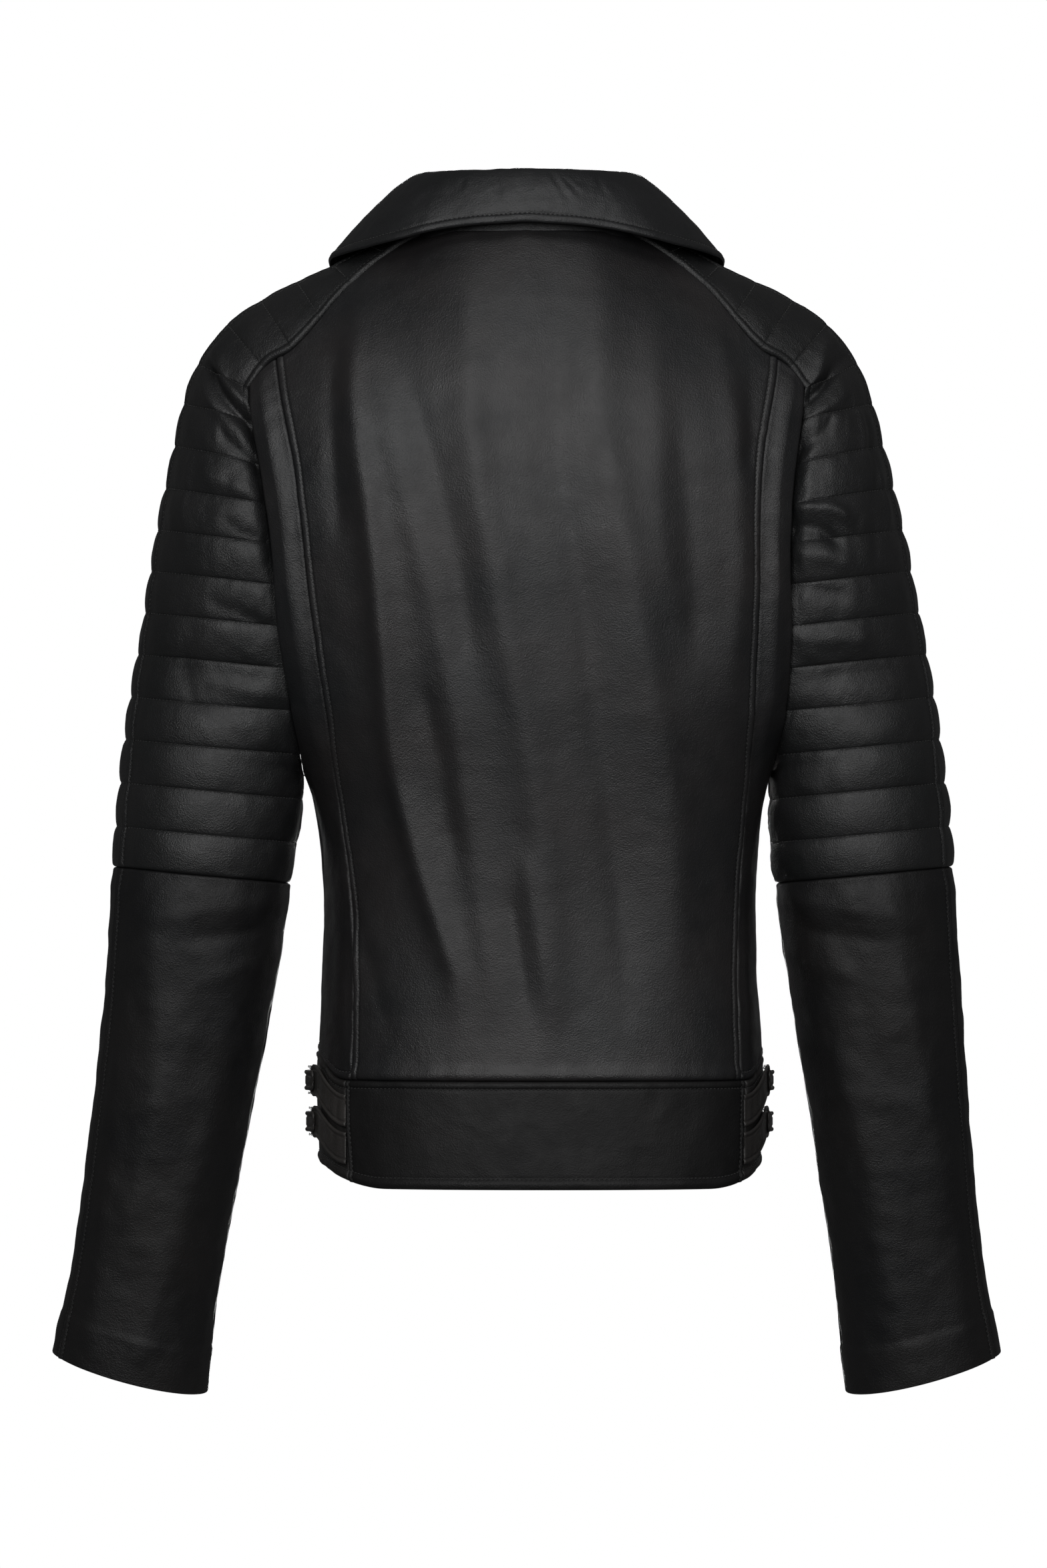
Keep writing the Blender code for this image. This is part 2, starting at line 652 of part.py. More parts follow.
def on_side(hand, z, spots, across):
    """Points at (distance along the ring, height off it) spots and offsets across, as a grid."""
    length, points = side_frame(hand, z)
    base = np.stack([np.interp(spots[:, 0], length, points[:, k]) for k in range(3)], axis=-1)
    ahead = np.stack([np.interp(spots[:, 0] + 0.002, length, points[:, k]) for k in range(3)], axis=-1)
    before = np.stack([np.interp(spots[:, 0] - 0.002, length, points[:, k]) for k in range(3)], axis=-1)
    tangent = ahead - before
    tangent /= np.linalg.norm(tangent, axis=1, keepdims=True)
    normal = hand * np.stack([tangent[:, 1], -tangent[:, 0], 0 * tangent[:, 0]], axis=-1)
    flat = base + normal * spots[:, 1:2]
    grid = np.repeat(flat[:, None, :], across.shape[1], axis=1)
    grid[..., 2] = z + across
    return grid


def ribbon(name, hand, z, path, half, thickness, finish, slot=None, origin_spot=None, fall=0):
    """A strip along a path of (distance, height) spots, with an optional slot along its middle."""
    path = np.asarray(path, float)
    step = np.gradient(path, axis=0)
    step /= np.linalg.norm(step, axis=1, keepdims=True)
    side = np.stack([-step[:, 1], step[:, 0]], axis=-1)
    half = np.broadcast_to(np.asarray(half, float), (len(path),))
    shares = [-half, half]
    keep = None
    if slot is not None:
        shares = [-half, 0 * half - SLOT_HALF, 0 * half + SLOT_HALF, half]
        keep = np.ones((len(path) - 1, 3), bool)
        keep[:, 1] = ~slot[:-1] | ~slot[1:]
    across = np.stack(shares, axis=1) + np.reshape(fall, (-1, 1))
    outer = on_side(hand, z, path + side * thickness / 2, across)
    inner = on_side(hand, z, path - side * thickness / 2, across)
    origin = (0, 0, 0)
    if origin_spot is not None:
        origin = on_side(hand, z, np.array([origin_spot]), np.zeros((1, 1)))[0, 0]
    sheet(name, outer, inner, finish, keep, origin=origin)


def arc(centre, radius, start, end, count):
    turn = np.radians(np.linspace(start, end, count))
    return np.stack([centre[0] + radius * np.cos(turn), centre[1] + radius * np.sin(turn)], axis=-1)


def waist_strap(name, hand, z, drop):
    reach = BAR_RADIUS + 0.0003 + STRAP_THICK / 2
    back = np.stack([np.linspace(STRAP_START, STRAP_END, 9), np.full(9, 0.0020)], axis=-1)
    slope = np.array([[-0.0215, 0.0028], [-0.0190, 0.0034], [-0.0155, 0.0042], [-0.0120, 0.0051]])
    turn = arc((BAR_S, BAR_H), reach, 95, -90, 10)
    under = np.array([[-0.0105, 0.0018], [-0.0140, 0.0018], [-0.0185, 0.0018]])
    path = np.concatenate([back, slope, turn, under])
    half = np.where(path[:, 0] < -0.0170, STRAP_HALF, TAB_HALF)
    half[len(back) + len(slope):] = TAB_HALF
    slot = path[:, 0] > -0.0125
    fall = -drop * ease((STRAP_END - path[:, 0]) / (STRAP_END - STRAP_START))
    ribbon(name, hand, z, path, half, STRAP_THICK, BLACK_LEATHER, slot, fall=fall)


def strap_tab(name, hand, z):
    path = np.array(
        [
            [-0.0240, 0.0040], [-0.0228, 0.0042], [-0.0215, 0.0044], [-0.0190, 0.0050], [-0.0155, 0.0058],
            [-0.0120, 0.0067], [-0.0095, 0.0072], [-0.0078, 0.0073], [-0.0060, 0.0070], [-0.0040, 0.0060],
            [-0.0010, 0.0042], [0.0020, 0.0027], [0.0050, 0.0021], [0.0090, 0.0020], [0.0150, 0.0020],
            [0.0220, 0.0020], [0.0300, 0.0020], [0.0370, 0.0020],
            [TAB_END, 0.0020],
        ]
    )
    half = np.where(path[:, 0] > 0.020, STRAP_HALF, TAB_HALF)
    half[0] = 0.0025
    half[1] = 0.0052
    slot = (path[:, 0] > -0.0125) & (path[:, 0] < 0.0021)
    ribbon(name, hand, z, path, half, STRAP_THICK, BLACK_LEATHER, slot)


def buckle_frame(name, hand, z):
    """The buckle's rounded ring of wire, bowed out between its pivot bar and its far bar."""
    middle = (BAR_S + FAR_S) / 2
    reach = (FAR_S - BAR_S) / 2 - FRAME_CORNER
    wide = FRAME_HALF - FRAME_CORNER
    turns = ((reach, wide, 0), (-reach, wide, 90), (-reach, -wide, 180), (reach, -wide, 270))
    corners = [arc((middle + x, y), FRAME_CORNER, start, start + 90, 4) for x, y, start in turns]
    sides = [np.array([[middle, FRAME_HALF]]), np.array([[middle, -FRAME_HALF]])]
    path = np.concatenate([corners[0], sides[0], corners[1], corners[2], sides[1], corners[3]])
    along, across = path.T
    count = len(path)
    share = (along - BAR_S) / (FAR_S - BAR_S)
    height = BAR_H + (FAR_H - BAR_H) * share + FRAME_BOW * np.sin(math.pi * share)
    centre = np.stack([along, across, height], axis=-1)
    step = np.roll(centre, -1, axis=0) - np.roll(centre, 1, axis=0)
    step /= np.linalg.norm(step, axis=1, keepdims=True)
    side = np.cross(step, UP)
    side /= np.linalg.norm(side, axis=1, keepdims=True)
    above = np.cross(side, step)
    rows = []
    for angle in np.radians(np.arange(FRAME_SIDES) * 360 / FRAME_SIDES + 30):
        ringed = centre + BAR_RADIUS * (math.cos(angle) * side + math.sin(angle) * above)
        spots = np.stack([ringed[:, 0], ringed[:, 2]], axis=-1)
        rows.append(on_side(hand, z, spots, ringed[:, 1:2])[:, 0])
    tube = np.stack(rows)
    points = tube.reshape(-1, 3)
    faces = []
    for i in range(FRAME_SIDES):
        for j in range(count):
            near = [(i, j), (i, j + 1), (i + 1, j + 1), (i + 1, j)]
            faces.append([(a % FRAME_SIDES) * count + b % count for a, b in near])
    frame = add_mesh(name, points, faces, DARK_METAL)
    frame.data.shade_smooth()


def prong(name, hand, z):
    reach = BAR_RADIUS + 0.00025 + 0.0005
    hook = arc((BAR_S, BAR_H), reach, -50, -268, 12)
    tip = FAR_H + BAR_RADIUS + 0.0003 + 0.0005
    rise = np.array([[-0.0055, BAR_H + reach + 0.0001], [0.0, tip - 0.0005]])
    run = np.array([[0.0040, tip], [FAR_S, tip], [0.0096, tip]])
    path = np.concatenate([hook, rise, run])
    half = np.full(len(path), PRONG_HALF)
    half[-1] = 0.0007
    ribbon(name, hand, z, path, half, 0.0010, DARK_METAL, origin_spot=(BAR_S, BAR_H))


def waist_straps():
    for label, hand in (("left", -1), ("right", 1)):
        for level, z in STRAP_Z.items():
            waist_strap(f"waist_strap_{level}_{label}", hand, z, STRAP_DROP[level])
            strap_tab(f"strap_tab_{level}_{label}", hand, z)
            buckle_frame(f"strap_buckle_{level}_{label}", hand, z)
            prong(f"buckle_prong_{level}_{label}", hand, z)


def extrude(name, outline, length, finish, frame, origin, collection=jacket):
    """A prism: an outline of (across, out) points run along the frame's first direction, from the origin."""
    along, across, out = frame
    outline = np.asarray(outline, float)
    start, end = length
    points = []
    for place in (start, end):
        for sideways, height in outline:
            points.append(origin + along * place + across * sideways + out * height)
    count = len(outline)
    faces = [list(range(count)), list(range(2 * count - 1, count - 1, -1))]
    for i in range(count):
        j = (i + 1) % count
        faces.append([i + count, j + count, j, i])
    return add_mesh(name, points, faces, finish, origin, collection)


def joined(body, other):
    """The body with the helper joined to it."""
    join = body.modifiers.new("join", "BOOLEAN")
    join.operation = "UNION"
    join.solver = "EXACT"
    join.object = other
    other.hide_render = True
    other.display_type = "WIRE"


def slider(name, frame, origin):
    """A zip slider over the chain: a plate with two lips, and a bridge that the pull hangs from."""
    along, across, out = frame
    roof = CHAIN_HIGH + 0.0003
    lip = CHAIN_OUTER + 0.0004
    outline = [
        (-SLIDER_HALF, 0.0004), (-lip, 0.0004), (-lip, roof),
        (lip, roof), (lip, 0.0004), (SLIDER_HALF, 0.0004),
        (SLIDER_HALF, roof + SLIDER_PLATE * 0.5), (SLIDER_HALF - 0.001, roof + SLIDER_PLATE),
        (-SLIDER_HALF + 0.001, roof + SLIDER_PLATE), (-SLIDER_HALF, roof + SLIDER_PLATE * 0.5),
    ]
    body = extrude(name, outline, (-SLIDER_LENGTH / 2, SLIDER_LENGTH / 2), DARK_METAL, frame, origin)
    top = roof + SLIDER_PLATE
    arch = [
        (-0.0042, top - 0.0004), (-0.0030, top - 0.0004), (-0.0026, top + 0.0020), (0.0012, top + 0.0022),
        (0.0024, top + 0.0014), (0.0030, top - 0.0004), (0.0042, top - 0.0004), (0.0036, top + 0.0022),
        (0.0018, top + 0.0033), (-0.0032, top + 0.0031),
    ]
    directions = (across, along, out)
    bridge = extrude(f"{name}_bridge", arch, (-0.0008, 0.0008), DARK_METAL, directions, origin, helpers)
    joined(body, bridge)


def pull(name, frame, origin):
    """A pull tab whose top bar passes under the slider's bridge; its origin is on that bar."""
    along, across, out = frame
    hinge = origin + out * (CHAIN_HIGH + 0.0003 + SLIDER_PLATE + 0.0010) - along * 0.0004
    thick = 0.0005
    outline = [
        (-PULL_HALF, 0.0006), (PULL_HALF, 0.0006), (PULL_HALF, -0.0070), (PULL_HALF * 0.8, -0.0100),
        (PULL_HALF * 0.9, -PULL_LENGTH + 0.003), (PULL_HALF * 0.45, -PULL_LENGTH),
        (-PULL_HALF * 0.45, -PULL_LENGTH), (-PULL_HALF * 0.9, -PULL_LENGTH + 0.003),
        (-PULL_HALF * 0.8, -0.0100), (-PULL_HALF, -0.0070),
    ]
    body = extrude(name, outline, (-thick, thick), DARK_METAL, (out, across, along), hinge)
    window = [(-0.0017, -0.0006), (0.0017, -0.0006), (0.0017, -0.0052), (-0.0017, -0.0052)]
    cutter = extrude(
        f"{name}_window", window, (-0.003, 0.003), DARK_METAL, (out, across, along), hinge, helpers
    )
    cut = body.modifiers.new("window", "BOOLEAN")
    cut.operation = "DIFFERENCE"
    cut.solver = "EXACT"
    cut.object = cutter
    cutter.hide_render = True
    cutter.display_type = "WIRE"


def front_zip():
    top = torso(np.array(0.0), np.array(FRONT_ZIP_TOP_Z), 1)
    bottom = torso(np.array(0.0), np.array(FRONT_ZIP_BOTTOM_Z), 1)
    length = float(np.linalg.norm(top - bottom))
    along = (top - bottom) / length
    across = np.array([-1.0, 0, 0])
    across -= along * np.dot(across, along)
    across /= np.linalg.norm(across)
    out = np.cross(across, along)
    out = out if out[1] > 0 else -out
    frame = (along, across, out)
    for label, way in (("left", 1), ("right", -1)):
        half = [
            (CHAIN_INNER * way, -TAPE_THICK), (TAPE_OUTER * way, -TAPE_THICK), (TAPE_OUTER * way, 0),
            (CHAIN_OUTER * way, 0), (CHAIN_OUTER * way, CHAIN_HIGH), (CHAIN_INNER * way, CHAIN_HIGH),
        ]
        extrude(f"front_zip_{label}", half, (0, length), ZIP_TAPE, frame, bottom - out * ZIP_DROP)
    place = bottom + along * (length - SLIDER_LENGTH / 2 - 0.001) - out * ZIP_DROP
    slider("front_zip_slider", frame, place)
    pull("front_zip_pull", frame, place)


def pocket_zip(label, hand):
    top = torso(hand * angle_at(np.array(POCKET_TOP[0]), POCKET_TOP[1], 1), POCKET_TOP[1], 1)
    bottom = torso(hand * angle_at(np.array(POCKET_BOTTOM[0]), POCKET_BOTTOM[1], 1), POCKET_BOTTOM[1], 1)
    length = float(np.linalg.norm(top - bottom))
    along = (top - bottom) / length
    middle = (top + bottom) / 2
    near = torso(angle_at(middle[0] + np.array([-0.01, 0.01]), middle[2], 1), middle[2], 1)
    across = near[1] - near[0]
    across -= along * np.dot(across, along)
    across /= np.linalg.norm(across)
    out = np.cross(across, along)
    if out[1] < 0:
        out = -out
    frame = (along, across, out)
    reach = np.linspace(0, 1, 25)[:, None]
    sideways = np.linspace(-POCKET_TAPE, POCKET_TAPE, 5)[None, :]
    spots = bottom + (top - bottom) * reach[..., None] + across * sideways[..., None]
    spots_x = spots[..., 0] - twist_shift(spots[..., 1], spots[..., 2])
    surface = torso(angle_at(spots_x, spots[..., 2], 1), spots[..., 2], 1)
    proud = float(np.max((surface - spots) @ out)) + POCKET_ZIP_REST + TAPE_THICK
    base = bottom + out * proud
    inner = CHAIN_INNER + 0.0006
    outline = [
        (-POCKET_TAPE, -TAPE_THICK), (POCKET_TAPE, -TAPE_THICK), (POCKET_TAPE, 0), (CHAIN_OUTER, 0),
        (CHAIN_OUTER, CHAIN_HIGH), (inner, CHAIN_HIGH), (inner, 0.0006),
        (-inner, 0.0006), (-inner, CHAIN_HIGH),
        (-CHAIN_OUTER, CHAIN_HIGH), (-CHAIN_OUTER, 0), (-POCKET_TAPE, 0),
    ]
    extrude(f"hand_pocket_zip_{label}", outline, (0, length), ZIP_TAPE, frame, base)
    place = base + along * (length - SLIDER_LENGTH / 2 - 0.003)
    slider(f"hand_pocket_slider_{label}", frame, place)
    pull(f"hand_pocket_pull_{label}", frame, place)


body_panels()
waistband()
sleeves()
collar()
hanger_loop()
waist_straps()
front_zip()
for side_label, side_hand in (("left", -1), ("right", 1)):
    pocket_zip(side_label, side_hand)
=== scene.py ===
"""The look of the leather riding jacket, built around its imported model.

Every leather panel is laid again, finely, on the same two surfaces as the model: the torso, and the sleeve
with its raglan shoulder. Folds, quilting, rolled seams, stitches and zip teeth are shapes in the mesh.
"""

import math

import bpy
import numpy as np
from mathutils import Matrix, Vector


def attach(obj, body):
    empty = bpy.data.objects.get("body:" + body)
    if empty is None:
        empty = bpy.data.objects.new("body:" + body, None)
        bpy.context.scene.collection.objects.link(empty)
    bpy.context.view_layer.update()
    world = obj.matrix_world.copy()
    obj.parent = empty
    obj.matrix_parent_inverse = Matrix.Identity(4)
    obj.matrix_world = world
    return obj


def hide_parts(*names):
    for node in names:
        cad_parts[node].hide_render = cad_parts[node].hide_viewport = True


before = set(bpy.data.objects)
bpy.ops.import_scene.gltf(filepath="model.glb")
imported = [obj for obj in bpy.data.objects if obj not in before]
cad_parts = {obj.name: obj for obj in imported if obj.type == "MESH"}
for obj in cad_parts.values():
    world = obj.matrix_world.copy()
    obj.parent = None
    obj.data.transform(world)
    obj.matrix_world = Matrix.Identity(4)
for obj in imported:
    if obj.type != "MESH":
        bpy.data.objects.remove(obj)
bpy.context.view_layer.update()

SPACING = 0.0024
UP = np.array([0.0, 0.0, 1.0])

LEATHER = 0.0014
QUILTED = 0.0036
LINING = 0.0008
LINING_INSET = 0.005
SLEEVE_LINING_INSET = 0.007
PICTURE_Z = -0.354

# Torso, metres
TORSO_CENTRE_Y = 0.06
SHOULDER_ROLL = 0.13
BACK_SQUARENESS = 2.3
FRONT_SQUARENESS = 2.6
WAIST_SEAM_Z = -0.543
HEM_Z = -0.612
WAIST_RISE = 0.018
HEM_RISE = 0.016
ARMPIT_Z = -0.348
NECK_FRONT_Z = -0.075
ZIP_TOP_Y = 0.122
ZIP_SLOPE = 0.045
CHEST_FULLNESS = 0.018
# Each row: drop below the neck, half width, back depth
TORSO = (
    (-0.04, 0.21, 0.086), (0.0, 0.21, 0.0879), (0.05, 0.208, 0.094), (0.1, 0.204, 0.103),
    (0.15, 0.194, 0.11), (0.2, 0.19, 0.112), (0.25, 0.183, 0.11), (0.3, 0.169, 0.106),
    (0.348, 0.148, 0.101), (0.42, 0.1385, 0.094), (0.5, 0.1405, 0.094), (0.545, 0.1425, 0.096),
    (0.62, 0.139, 0.099),
)
# Shoulder line: distance from the centre, height
RIDGE = (
    (0.0, 0.035), (0.045, 0.025), (0.078, 0.004), (0.124, -0.021), (0.148, -0.0325), (0.171, -0.0435),
    (0.193, -0.0585), (0.213, -0.084),
)
# Side seam of the centre back panel: drop, half width
BACK_SEAM = (
    (0.0, 0.161), (0.086, 0.16), (0.154, 0.149), (0.24, 0.143), (0.343, 0.133), (0.425, 0.124),
    (0.62, 0.128),
)
# The lower body turns a little to one side against the shoulders
TWIST_SHIFT = 0.0085
TWIST_TURN = 0.07
TWIST_FROM_Z = -0.1
TWIST_TO_Z = -0.45
ARM_SHIFT = 0.004

# Sleeve by quilt channel from the neck: channel, outer x, z, centre y, back seam x, z,
# degrees turned from the outer line to the back seam, front seam x, z, degrees turned to the front seam
CHANNELS = 18
SLEEVE = (
    (0, 0.078, 0.004, 0.06, 0.066, -0.002, 35, 0.068, -0.028, 45),
    (2, 0.124, -0.021, 0.06, 0.112, -0.0336, 38, 0.1, -0.052, 52),
    (4, 0.171, -0.0435, 0.062, 0.15, -0.0762, 55, 0.13, -0.085, 62),
    (5, 0.193, -0.0585, 0.064, 0.168, -0.0885, 66, 0.143, -0.104, 76),
    (6, 0.213, -0.084, 0.066, 0.1765, -0.102, 78, 0.15, -0.122, 96),
    (7, 0.2225, -0.11, 0.067, 0.1745, -0.121, 90, 0.154, -0.142, 112),
    (8, 0.229, -0.137, 0.068, 0.1695, -0.149, 96, 0.156, -0.165, 123),
    (10, 0.2405, -0.191, 0.068, 0.164, -0.201, 100, 0.157, -0.213, 133),
    (12, 0.25, -0.244, 0.068, 0.1615, -0.254, 102, 0.156, -0.262, 138),
    (14, 0.259, -0.298, 0.068, 0.156, -0.308, 130, 0.152, -0.31, 140),
    (15.5, 0.2645, -0.339, 0.068, 0.148, -0.35, 150, 0.148, -0.35, 150),
    (17, 0.269, -0.381, 0.069, 0.1505, -0.392, 170, 0.1505, -0.392, 170),
    (18, 0.271, -0.407, 0.07, 0.1545, -0.418, 180, 0.1545, -0.418, 180),
)
ARM_DEPTH = 0.06
# Lower sleeve: share of its length, outer x, z, inner x, z, back depth, front depth, centre y
FOREARM = (
    (0.0, 0.271, -0.407, 0.1545, -0.418, 0.06, 0.06, 0.07),
    (0.25, 0.2755, -0.49, 0.168, -0.5, 0.057, 0.058, 0.074),
    (0.5, 0.283, -0.575, 0.1825, -0.583, 0.053, 0.055, 0.08),
    (0.75, 0.2925, -0.655, 0.196, -0.663, 0.049, 0.051, 0.088),
    (1.0, 0.305, -0.722, 0.206, -0.745, 0.046, 0.048, 0.096),
)
OUTER_SEAM = 0.13
SHOULDER_PITCH = 0.024
QUILT_PITCH = 0.0262
QUILT_DEPTH = 0.0021
QUILT_RISE = 0.0004
CUFF_BOW = 0.0055

# Neck seam, collar fold and leaf edge: share of the way round, x, y, z
NECK = (
    (0.0, 0.0, 0.0, 0.0), (0.25, 0.04, 0.0064, -0.001), (0.42, 0.066, 0.0203, -0.002),
    (0.6, 0.078, 0.06, 0.004), (0.7, 0.0757, 0.082, -0.0036), (0.8, 0.068, 0.103, -0.028),
    (0.92, 0.04, 0.119, -0.058), (1.0, 0.01, 0.122, -0.074),
)
FOLD = (
    (0.0, 0.0, 0.005, 0.0355), (0.25, 0.038, 0.011, 0.035), (0.42, 0.06, 0.026, 0.0345),
    (0.6, 0.0705, 0.06, 0.033), (0.7, 0.0685, 0.081, 0.022), (0.8, 0.063, 0.102, 0.001),
    (0.92, 0.038, 0.119, -0.03), (1.0, 0.012, 0.1235, -0.046),
)
LEAF_EDGE = (
    (0.0, 0.0, -0.0135, 0.0042), (0.2, 0.045, -0.011, 0.0012), (0.42, 0.092, 0.005, -0.008),
    (0.52, 0.116, 0.033, -0.0135), (0.6, 0.1265, 0.06, -0.016), (0.7, 0.125, 0.088, -0.028),
    (0.8, 0.114, 0.112, -0.056), (0.9, 0.092, 0.126, -0.09), (1.0, 0.058, 0.133, -0.112),
)
COLLAR = 0.0018
COLLAR_REST = 0.0028
# Hanger loop inside the collar stand, metres
LOOP_HALF = 0.03
LOOP_END_Y = 0.0085
LOOP_BOW = 0.011
LOOP_CURVE = 3.33
LOOP_Z = (0.01, 0.018)
LOOP_THICK = 0.0009

# Waist straps and their buckles, metres
STRAP_Z = {"upper": -0.544, "lower": -0.5705}
BUCKLE_FORWARD = 0.012
STRAP_HALF = 0.0108
TAB_HALF = 0.0065
STRAP_THICK = 0.0012
BAR_S = -0.008
BAR_H = 0.0036
BAR_RADIUS = 0.001
# Where the strap starts, its drop on the way to the buckle, and the tab's path as distance and height
STRAP_SEAM = -0.069
STRAP_FALL = {"upper": -0.0185, "lower": -0.016}
TAB_PATH = (
    (-0.024, 0.004), (-0.0228, 0.0042), (-0.0215, 0.0044), (-0.019, 0.005), (-0.0155, 0.0058),
    (-0.012, 0.0067), (-0.0095, 0.0072), (-0.0078, 0.0073), (-0.006, 0.007), (-0.004, 0.006),
    (-0.001, 0.0042), (0.002, 0.0027), (0.005, 0.0021), (0.009, 0.002), (0.015, 0.002), (0.022, 0.002),
    (0.03, 0.002), (0.037, 0.002), (0.043, 0.002),
)
SIDE_BAND_BACK = 62
SIDE_BAND_FRONT = 126
WAIST_TURN = 32
HEM_TURN_START = 45
HEM_TURN = 50
HEM_TURN_UP = 0.02
LINING_EDGE = 0.02

# Zips, metres
TAPE_OUTER = 0.011
POCKET_TAPE = 0.008
POCKET_ZIP_REST = 0.002
ZIP_DROP = 0.0008
PANEL_LIFT = 0.0012
TAPE_THICK = 0.0008
PANEL_EDGE = 0.0072
FRONT_ZIP_TOP_Z = -0.08
FRONT_ZIP_BOTTOM_Z = -0.592
POCKET_TOP = (0.072, -0.375)
POCKET_BOTTOM = (0.103, -0.49)

# Stitches, and their distances from the edges, metres
EDGE_STITCH = 0.0052
RAGLAN_STITCH = 0.0058
STITCH_PITCH = 0.003
STITCH_LENGTH = 0.0024
THREAD_RADIUS = 0.00042
STITCH_LEAN = 0.12

SIDES = (("left", -1), ("right", 1))


def curve(stations, at):
    """Smooth values at a parameter, through stations whose first column is that parameter."""
    table = np.array(stations, float)
    key = table[:, 0]
    value = table[:, 1:]
    slope = np.gradient(value, key, axis=0)
    at = np.clip(np.asarray(at, float), key[0], key[-1])
    i = np.clip(np.searchsorted(key, at, side="right") - 1, 0, len(key) - 2)
    step = (key[i + 1] - key[i])[..., None]
    t = (at - key[i])[..., None] / step
    start = (1 + 2 * t) * (1 - t) ** 2 * value[i] + t * (1 - t) ** 2 * step * slope[i]
    end = t * t * (3 - 2 * t) * value[i + 1] + t * t * (t - 1) * step * slope[i + 1]
    return start + end


def ease(t):
    t = np.clip(t, 0.0, 1.0)
    return t * t * (3 - 2 * t)


def unit(vectors):
    return vectors / np.linalg.norm(vectors, axis=-1, keepdims=True)


def ridge(s, place, width):
    """A rounded ridge of height 1 at a place, with a width on each side."""
    return np.exp(-(((s - place) / width) ** 2))


def between(at, run, values):
    """Rows of values at distances, found between the given rows, whose distances are run."""
    return np.stack([np.interp(at, run, column) for column in values.T], axis=-1)


def run_along(line):
    """Distance along a line of points, at each of them."""
    return np.insert(np.cumsum(np.linalg.norm(np.diff(line, axis=0), axis=1)), 0, 0)


def twist_shift(y, z):
    share = ease((TWIST_FROM_Z - z) / (TWIST_FROM_Z - TWIST_TO_Z))
    return share * (TWIST_SHIFT - TWIST_TURN * (y - TORSO_CENTRE_Y))


def arm_shift(z):
    return ARM_SHIFT * ease(-z / 0.35) * ease((z + 0.74) / 0.3)


def roll(x, z):
    """How far the torso surface has rolled over from the shoulder line: 0 on it, 1 well below."""
    below = (curve(RIDGE, np.abs(x))[..., 0] - z) / SHOULDER_ROLL
    return np.sqrt(np.clip(1 - (1 - np.clip(below, 0, 1)) ** 2, 0, 1))


def torso(angle, z, side):
    """Torso surface: the angle in degrees from the centre line, side -1 for the back and 1 for the front."""
    angle, z = np.broadcast_arrays(np.asarray(angle, float), np.asarray(z, float))
    width = curve(TORSO, -z)
    power = 2 / (BACK_SQUARENESS if side < 0 else FRONT_SQUARENESS)
    turn = np.radians(np.clip(angle, -90, 90))
    x = np.sign(turn) * width[..., 0] * np.abs(np.sin(turn)) ** power
    across = np.abs(np.cos(turn)) ** power
    if side < 0:
        y = TORSO_CENTRE_Y - width[..., 1] * across * roll(x, z)
    else:
        front = ZIP_TOP_Y + (NECK_FRONT_Z - z) * ZIP_SLOPE - TORSO_CENTRE_Y
        chest = np.exp(-(((np.abs(x) - 0.075) / 0.045) ** 2) - ((z + 0.23) / 0.09) ** 2)
        y = TORSO_CENTRE_Y + front * across * roll(x, z) / roll(0 * x, z) + CHEST_FULLNESS * chest
    return np.stack([x + twist_shift(y, z), y, z], axis=-1)


def angle_at(x, z, side):
    """The torso angle whose point is this far from the centre line, before the twist."""
    squareness = BACK_SQUARENESS if side < 0 else FRONT_SQUARENESS
    share = np.clip(np.abs(x) / curve(TORSO, -z)[..., 0], 0, 1)
    return np.sign(x) * np.degrees(np.arcsin(share ** (squareness / 2)))


def armhole_x(z, side):
    columns = (5, 4) if side < 0 else (8, 7)
    rows = sorted((-row[columns[0]], row[columns[1]]) for row in SLEEVE if 6 <= row[0] <= 15.5)
    return curve(rows, -z)[..., 0]


def armhole_angle(z, side):
    """Where the torso panels end: at the armhole, and below the armpit at the side seam."""
    return np.where(np.asarray(z) <= ARMPIT_Z, 90.0, angle_at(armhole_x(z, side), z, side))


def raglan_z(x, side):
    """Height of the panel tops: the neck seam, then the raglan seam."""
    if side < 0:
        rows = [(0, 0.0), (0.035, -0.0005)] + [(row[4], row[5]) for row in SLEEVE if row[0] <= 6]
    else:
        neck = [(row[1], row[3]) for row in NECK[:4:-1]]
        rows = neck + [(row[7], row[8]) for row in SLEEVE if 2 <= row[0] <= 6]
    return curve(rows, np.abs(x))[..., 0]


